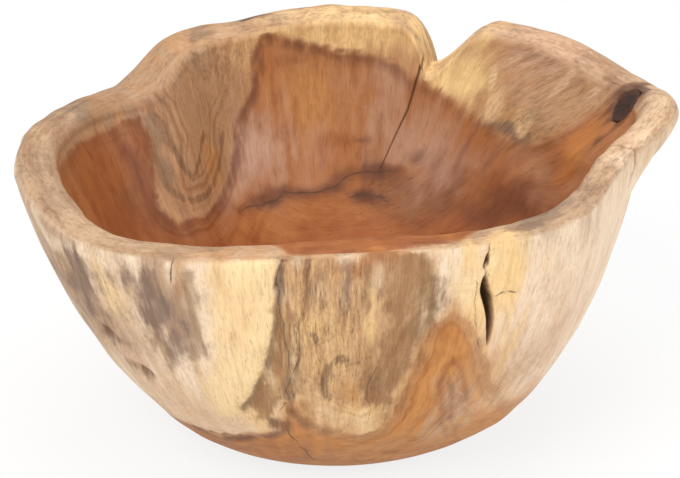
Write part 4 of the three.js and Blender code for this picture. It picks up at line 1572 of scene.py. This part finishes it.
@dataclass
class RootBowl:
    """The bowl: one closed shell of root wood."""

    surface: RootSurface
    knot: KnotPlace
    strip: CreamStrip = CreamStrip()
    crack: DryingCrack = DryingCrack()
    slot: RottedSlot = RottedSlot()
    hand_waves: Ripples = Ripples(seed=11, length=70.0)
    tool_waves: Ripples = Ripples(seed=12, length=22.0)
    worm_waves: Ripples = Ripples(seed=13, length=5.0)
    ragged_waves: Ripples = Ripples(seed=14, length=9.0)
    fibre_drum: float = 150.0
    rim_crack_depth: float = 1.6
    heart_reach: float = 60.0
    rim_heart_reach: float = 30.0

    def porous(self) -> Array:
        """Where the wood is rough and wormy, from 0 to 1."""
        surface = self.surface
        front = surface.spot(268.5, 22.0, 138.0, 58.0)
        left = 0.4 * surface.spot(216.0, 20.0, 140.0, 30.0)
        return np.clip(1.4 * front + left + 0.2 * self.strip.mask(surface), 0.0, 1.0) * surface.outside

    def lift(self) -> Array:
        """Millimetres that each point stands out of the carved form."""
        surface = self.surface
        upright = surface.points * np.array([1.0, 1.0, 0.3])
        wall = np.maximum(surface.outside, surface.inside)
        lift = 0.45 * self.hand_waves.at(upright) * wall + 0.25 * self.tool_waves.at(upright)
        lift += self.porous() * (0.45 * self.worm_waves.at(upright) + 0.3 * self.tool_waves.at(upright))
        lift += self.strip.lift(surface)
        for trace in FIRST_LINES + SECOND_LINES:
            if trace.depth:
                gap = trace.signed_distance(surface)
                lift -= trace.depth * bell(gap, trace.width * 1.2) * surface.belongs(trace.side)
        for dimple in DIMPLES:
            lift -= dimple.press(surface)
        lift *= smooth_rise(surface.height, 4.0, 26.0)
        for cut in (self.crack.press(surface), self.slot.press(surface), self.knot.socket(surface)):
            lift -= cut
        return lift - self.rim_crack_depth * self.rim_crack()

    def rim_crack(self) -> Array:
        """The fine crack across the right of the rim, from 0 to 1."""
        surface = self.surface
        sway = 347.2 + 0.05 * surface.over + 0.15 * np.sin(surface.over * 0.7)
        ends = smooth_rise(surface.over, -34.0, -22.0) * (1.0 - smooth_rise(surface.over, 6.0, 10.0))
        return bell(surface.across(sway), 0.6) * ends

    def is_under(self, line: tuple[tuple[float, float], ...]) -> Array:
        """Whether an odd number of a line's parts run above a point. The line goes once round the bowl."""
        surface = self.surface
        angle = np.mod(surface.angle - line[0][0], 360.0) + line[0][0]
        is_under = np.zeros_like(angle, dtype=bool)
        for (angle_from, height_from), (angle_to, height_to) in zip(line, line[1:]):
            spans = (angle >= angle_from) != (angle >= angle_to)
            share = (angle - angle_from) / (angle_to - angle_from)
            is_under ^= spans & (surface.height < height_from + (height_to - height_from) * share)
        return is_under

    def heart_distance(self) -> Array:
        """Millimetres inside the heartwood, negative in the sapwood. At the front it comes over the rim."""
        surface = self.surface
        total = np.zeros_like(surface.radius)
        for side, line in ((Side.INSIDE, HEARTWOOD_LINE_INSIDE), (Side.OUTSIDE, HEARTWOOD_LINE_OUTSIDE)):
            gap = np.abs(Trace("heartwood", side, line).signed_distance(surface))
            signed = np.where(self.is_under(line), gap, -gap)
            is_here = (surface.over > 0) == (side is Side.INSIDE)
            total += np.clip(signed, -self.heart_reach, self.heart_reach) * is_here
        angles, edges = zip(*HEARTWOOD_LINE_RIM)
        over_edge = surface.over - np.interp(surface.angle, angles, edges)
        rim = surface.belongs(Side.RIM)
        return total * (1.0 - rim) + np.clip(over_edge, -self.rim_heart_reach, self.rim_heart_reach) * rim

    def weathered(self) -> Array:
        """How strongly grey and bleached mottles show on the sapwood."""
        surface = self.surface
        base = {Side.OUTSIDE: 0.2, Side.RIM: 0.75, Side.INSIDE: 0.4}
        total = sum(surface.belongs(side) * strength for side, strength in base.items())
        total += 0.8 * surface.spot(31.0, 36.0, 155.0, 34.0) * surface.inside
        total += 0.7 * surface.spot(122.0, 22.0, 168.0, 16.0) * surface.inside
        total += 0.3 * surface.spot(216.0, 44.0, 134.0, 36.0) * surface.outside
        total += 0.2 * surface.spot(273.0, 30.0, 124.0, 66.0) * surface.outside
        total -= 0.3 * surface.spot(299.0, 18.0, 150.0, 40.0)
        total -= 0.4 * bell(surface.across(62.0), 24.0) * surface.inside
        return np.clip(total - 0.3 * self.strip.mask(surface), 0.0, 1.0)

    def cross_fibre(self) -> tuple[Array, Array]:
        """Coordinates of the fibre that lies along the rim and heel and across the floor, and its share."""
        surface = self.surface
        x, y, z = np.moveaxis(surface.points, -1, 0)
        rim = np.roll(around_axis(surface.angle, self.fibre_drum, surface.over), 1, axis=-1)
        floor = np.stack([y, x, z], axis=-1)
        is_floor = (surface.over > 30.0)[..., None]
        floor_top = 96.0 + 24.0 * bell(surface.across(46.0), 70.0)
        floor_rise = np.where(surface.over > 0, floor_top, 64.0) - surface.height
        share = np.maximum(surface.belongs(Side.RIM), smooth_rise(floor_rise, 0.0, 24.0))
        return np.where(is_floor, floor, rim), share

    def raggedness(self) -> Array:
        """Unevenness of the washes' edges, long along the fibre. It fades towards the floor's middle."""
        along_fibre = self.surface.fibre(self.fibre_drum) * np.array([1.0, 1.0, 0.12])
        _, crosswise = self.cross_fibre()
        calm = 1.0 - 0.8 * crosswise * self.surface.inside
        return self.ragged_waves.at(along_fibre) * smooth_rise(self.surface.radius, 60.0, 110.0) * calm

    def wash(self, base: dict[Side, Wood], marks: tuple[Mark, ...]) -> Array:
        """Soft colours over the surface: a base for each side, with marks laid over it in order.

        Args:
            base: The wood of each side.
            marks: The marks.

        Returns:
            Red, green, blue and one for each point.
        """
        surface = self.surface
        ragged = self.raggedness()
        colour = sum(surface.belongs(side)[..., None] * wood.linear for side, wood in base.items())
        for mark in marks:
            mask = mark.wash(surface, ragged)[..., None]
            colour = colour * (1.0 - mask) + mark.wood.linear * mask
        return np.concatenate([colour, np.ones_like(colour[..., :1])], axis=-1)

    def stain(self, marks: tuple[Mark, ...]) -> dict[str, Array]:
        """The stains' hills, and the colour and strength of the highest hill near each point.

        Args:
            marks: The marks.

        Returns:
            The attributes `stain` and `stain_colour`, which has the strength as its alpha.
        """
        hill = np.zeros_like(self.surface.radius)
        colour = np.zeros((*hill.shape, 4))
        total = np.full_like(hill, 1e-12)
        for mark in marks:
            height = mark.stain(self.surface)
            hill = np.maximum(hill, height)
            share = height**8
            colour += share[..., None] * np.append(mark.wood.linear, mark.strength)
            total += share
        return {"stain": hill, "stain_colour": colour / total[..., None]}

    def line_fields(self, name: str, traces: tuple[Trace, ...]) -> dict[str, Array]:
        """Signed distance to the nearest of some lines, in half widths, and how dark it is there."""
        surface = self.surface
        nearest = np.full_like(surface.radius, 40.0)
        weight = np.zeros_like(nearest)
        for trace in traces:
            gap = trace.signed_distance(surface) / trace.width
            is_nearer = np.abs(gap) < np.abs(nearest)
            nearest = np.where(is_nearer, gap, nearest)
            near = trace.strength * (1.0 - smooth_rise(np.abs(gap), 3.0, 6.0)) * surface.belongs(trace.side)
            weight = np.maximum(weight, near)
        return {name: nearest, f"{name}_weight": weight}

    def figure(self, heart: Array) -> Array:
        """How strongly the growth rings show. They fade away from the heartwood's edge."""
        surface = self.surface
        tongue = bell(surface.across(136.0), 40.0) * surface.inside
        arch = surface.spot(291.0, 40.0, 80.0, 54.0) * surface.outside
        return (0.08 + 0.45 * tongue + 0.4 * arch) * (1.0 - smooth_rise(np.abs(heart), 24.0, 52.0))

    def edge_darkness(self) -> Array:
        """How dark the line between sapwood and heartwood is."""
        surface = self.surface
        back = surface.near(108.0, 30.0) * surface.inside
        heel = surface.near(243.0, 24.0) * surface.outside
        return 0.2 + 0.45 * back + 0.6 * heel

    def edge_softness(self) -> Array:
        """Half width of the change from sapwood to heartwood, in millimetres."""
        surface = self.surface
        right = surface.near(35.0, 26.0) * surface.inside
        heel = surface.near(240.0, 20.0)
        arch = surface.near(284.0, 14.0)
        return 2.6 + 4.0 * right + (12.0 - 10.5 * np.maximum(heel, 0.75 * arch)) * surface.outside

    def colours(self) -> dict[str, Array]:
        """The painted attributes that the finish reads."""
        surface = self.surface
        sap_base = {Side.OUTSIDE: Wood.IVORY, Side.RIM: Wood.DUN, Side.INSIDE: Wood.TAN}
        heart_base = {Side.OUTSIDE: Wood.AMBER, Side.RIM: Wood.ORANGE, Side.INSIDE: Wood.BROWN}
        sap = self.wash(sap_base, SAPWOOD_WASHES)
        strip = self.strip.mask(surface)[..., None]
        sap[..., :3] = sap[..., :3] * (1.0 - strip) + Wood.CREAM.linear * strip
        crack = np.clip(self.crack.press(surface) / 2.0, 0.0, 0.75)
        socket = np.clip(self.knot.socket(surface) / 3.0, 0.0, 0.5)
        cross_fibre, crosswise = self.cross_fibre()
        heart = self.heart_distance()
        return {
            "sap_colour": sap,
            "heart_colour": self.wash(heart_base, HEARTWOOD_WASHES),
            **self.stain(SAPWOOD_STAINS),
            "heart": heart,
            "figure": self.figure(heart),
            "edge_dark": self.edge_darkness(),
            "edge_soft": self.edge_softness(),
            "weathered": self.weathered(),
            "porous": self.porous(),
            "hollow": np.maximum.reduce([self.slot.mask(surface), crack, socket, 0.7 * self.rim_crack()]),
            "fibre": surface.fibre(self.fibre_drum),
            "cross_fibre": cross_fibre,
            "crosswise": crosswise,
            "satin": surface.inside * smooth_rise(surface.height, 70.0, 110.0),
            **self.line_fields("first_line", FIRST_LINES),
            **self.line_fields("second_line", SECOND_LINES),
        }

    def build(self) -> bpy.types.Object:
        """Makes the shell: the carved form moved along its normals, with its painted attributes."""
        surface = self.surface
        grid = surface.points + surface.outward() * self.lift()[..., None]
        floor = np.array([0.0, 0.0, grid[-1, :, 2].mean()])
        poles = np.stack([np.zeros(3), floor])
        shell = closed_mesh("bowl_shell", grid, poles, self.colours())
        shell.data.materials.append(RootWoodFinish().material())
        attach(shell, "root")
        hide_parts("bowl")
        return shell


@dataclass
class DeadKnot:
    """The plug of branch wood in the rim's inner slope."""

    shape: RootShape
    place: KnotPlace
    sides: int = 72
    face_rings: int = 18
    wall_rings: int = 6
    end_rings: int = 4
    end_start: float = 0.15
    depth: float = 6.5
    taper: float = 0.86
    sunk: float = 0.1
    dome: float = 0.5
    check_angles: tuple[float, ...] = (25.0, 110.0, 165.0, 250.0, 318.0)
    check_depth: float = 0.25
    waves: Ripples = Ripples(seed=21, length=6.0)

    def facing(self) -> Array:
        """The way the face looks: towards the hollow and up."""
        turn, tilt = math.radians(self.place.angle + 180.0), math.radians(self.place.tilt)
        return np.array([math.cos(turn) * math.cos(tilt), math.sin(turn) * math.cos(tilt), math.sin(tilt)])

    def build(self) -> bpy.types.Object:
        """Makes the plug: an oval face that follows the rim's slope, then tapered sides and a flat end.

        A point of the face is given by its share of the way out and its angle round the oval. Rows run
        from the middle of the inner end outwards, up the side and in over the face to its middle.
        """
        place = self.place
        round_ = np.linspace(0.0, 2 * np.pi, self.sides, endpoint=False)
        end_share = np.linspace(self.end_start, 1.0, self.end_rings)
        face_share = np.linspace(1.0, 0.0, self.face_rings, endpoint=False)
        share = np.concatenate([end_share, np.ones(self.wall_rings), face_share])
        wall_level = np.linspace(1.0, 0.0, self.wall_rings + 2)[1:-1]
        level = np.concatenate([np.ones(self.end_rings), wall_level, np.zeros(self.face_rings)])
        wide = share[:, None] * place.half_width * np.cos(round_)
        long = share[:, None] * place.half_length * np.sin(round_)
        narrow = 1.0 - (1.0 - self.taper) * level[:, None]
        middle = self.shape.inside_points(np.array([place.angle]), np.array([place.over]))[0]
        radius = math.hypot(middle[0], middle[1])
        angle = place.angle + np.degrees(wide * narrow / radius)
        over = place.over + long * narrow
        points = self.shape.inside_points(angle.ravel(), over.ravel()).reshape(*angle.shape, 3)
        on_face = (level == 0.0)[:, None]
        check = np.zeros_like(angle)
        for check_angle in self.check_angles:
            away = np.abs(turn_between(check_angle, np.degrees(round_)))[None] * share[:, None]
            check = np.maximum(check, np.clip(1.0 - away / 5.0, 0.0, 1.0) * (share[:, None] > 0.2))
        check = check * on_face
        crown = self.dome * (1.0 - share[:, None] ** 2) + 0.15 * self.waves.at(points)
        rise = np.where(on_face, crown - self.sunk - self.check_depth * check, -self.sunk)
        points = points + self.facing() * (rise - self.depth * level[:, None])[..., None]
        poles = np.stack([points[0].mean(axis=0), points[-1].mean(axis=0)])
        attributes = {
            "reach": np.repeat(share[:, None], self.sides, axis=1),
            "check": check,
            "face": np.stack([wide, long, self.depth * level[:, None] + 0.0 * wide], axis=-1),
        }
        knot = closed_mesh("knot_plug", points, poles, attributes)
        knot.data.materials.append(KnotWoodFinish().material())
        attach(knot, "root")
        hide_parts("dead_knot")
        return knot


@dataclass(frozen=True)
class Softbox:
    """A large soft lamp that looks at the bowl."""

    name: str
    place: tuple[float, float, float]
    width: float
    height: float
    power: float

    def build(self, target: tuple[float, float, float]) -> None:
        """Makes the lamp, turned so that it looks at a point."""
        lamp = bpy.data.lights.new(self.name, "AREA")
        lamp.shape = "RECTANGLE"
        lamp.size, lamp.size_y = self.width, self.height
        lamp.energy = self.power
        holder = bpy.data.objects.new(self.name, lamp)
        holder.location = self.place
        across, ahead, drop = (end - start for start, end in zip(self.place, target))
        tilt = math.atan2(math.hypot(across, ahead), -drop)
        holder.rotation_euler = (tilt, 0.0, math.atan2(-across, ahead))
        bpy.context.collection.objects.link(holder)


@dataclass
class Studio:
    """A pale floor, soft lamps and the camera, in metres."""

    floor_half: float = 4.0
    floor_glow: float = 0.82
    target: tuple[float, float, float] = (0.0, 0.0, 0.1)
    lamps: tuple[Softbox, ...] = (
        Softbox("key_softbox", (-0.9, -1.3, 1.7), 1.2, 1.2, 30.0),
        Softbox("fill_softbox", (1.5, -0.9, 1.0), 1.0, 1.0, 11.5),
        Softbox("top_softbox", (0.1, 0.3, 1.9), 1.4, 1.4, 18.0),
    )
    ambient: float = 0.45
    camera_elevation: float = 27.0
    camera_distance: float = 1.2
    camera_aim: tuple[float, float, float] = (0.003, 0.0, 0.1063)
    lens: float = 115.7

    def floor_material(self) -> bpy.types.Material:
        """White to the eye, with the bowl's shadow, and plain pale paint to the light."""
        book = NodeBook("pale_floor")
        path = book.node("ShaderNodeLightPath", {}, {})
        kinds = ("Is Camera Ray", "Is Glossy Ray", "Is Transmission Ray")
        seen = [Shade(book, path.outputs[kind]) for kind in kinds]
        share = (seen[0] + seen[1] + seen[2]) * self.floor_glow
        paint = book.node("ShaderNodeBsdfDiffuse", {}, {"Color": (0.86, 0.86, 0.86, 1.0)})
        glow = book.node("ShaderNodeEmission", {}, {"Color": (1.0, 1.0, 1.0, 1.0), "Strength": 1.0})
        mixed = book.node("ShaderNodeMixShader", {}, {0: share, 1: paint.outputs[0], 2: glow.outputs[0]})
        return book.end(mixed.outputs[0])

    def build_floor(self) -> bpy.types.Object:
        """Makes the floor, a square at the foot's level."""
        half = self.floor_half
        mesh = bpy.data.meshes.new("floor")
        corners = [(-half, -half, 0.0), (half, -half, 0.0), (half, half, 0.0), (-half, half, 0.0)]
        mesh.from_pydata(corners, [], [(0, 1, 2, 3)])
        floor = bpy.data.objects.new("floor", mesh)
        floor.data.materials.append(self.floor_material())
        bpy.context.collection.objects.link(floor)
        return floor

    def build_world(self) -> None:
        """Even pale light from all round."""
        world = bpy.data.worlds.new("studio")
        world.use_nodes = True
        background = world.node_tree.nodes["Background"]
        background.inputs["Color"].default_value = (1.0, 1.0, 1.0, 1.0)
        background.inputs["Strength"].default_value = self.ambient
        bpy.context.scene.world = world

    def build_camera(self) -> None:
        """Sets the camera in front of the bowl, above it."""
        camera = bpy.data.objects.new("camera", bpy.data.cameras.new("camera"))
        camera.data.lens = self.lens
        tilt = math.radians(self.camera_elevation)
        aim_x, aim_y, aim_z = self.camera_aim
        back, up = self.camera_distance * math.cos(tilt), self.camera_distance * math.sin(tilt)
        camera.location = (aim_x, aim_y - back, aim_z + up)
        camera.rotation_euler = (math.pi / 2 - tilt, 0.0, 0.0)
        bpy.context.collection.objects.link(camera)
        bpy.context.scene.camera = camera

    def build(self) -> None:
        """Makes the whole studio."""
        self.build_floor()
        self.build_world()
        self.build_camera()
        for lamp in self.lamps:
            lamp.build(self.target)
        bpy.context.scene.view_settings.view_transform = "Standard"


def report(piece: bpy.types.Object) -> None:
    """Logs a piece's size and triangle count."""
    count = len(piece.data.vertices)
    places = np.empty(count * 3, dtype=np.float32)
    piece.data.vertices.foreach_get("co", places)
    low, high = places.reshape(-1, 3).min(axis=0), places.reshape(-1, 3).max(axis=0)
    piece.data.calc_loop_triangles()
    triangles = len(piece.data.loop_triangles)
    size = " x ".join(f"{part * 1000:.1f}" for part in high - low)
    LOG.info("%s: %s mm, lowest %.2f mm, %d triangles", piece.name, size, low[2] * 1000, triangles)


def main() -> None:
    """Builds the bowl, its knot and the studio."""
    logging.basicConfig(level=logging.INFO, format="%(name)s: %(message)s")
    shape = RootShape()
    place = KnotPlace()
    report(RootBowl(RootSurface(shape), place).build())
    report(DeadKnot(shape, place).build())
    Studio().build()


if __name__ == "__main__":
    main()
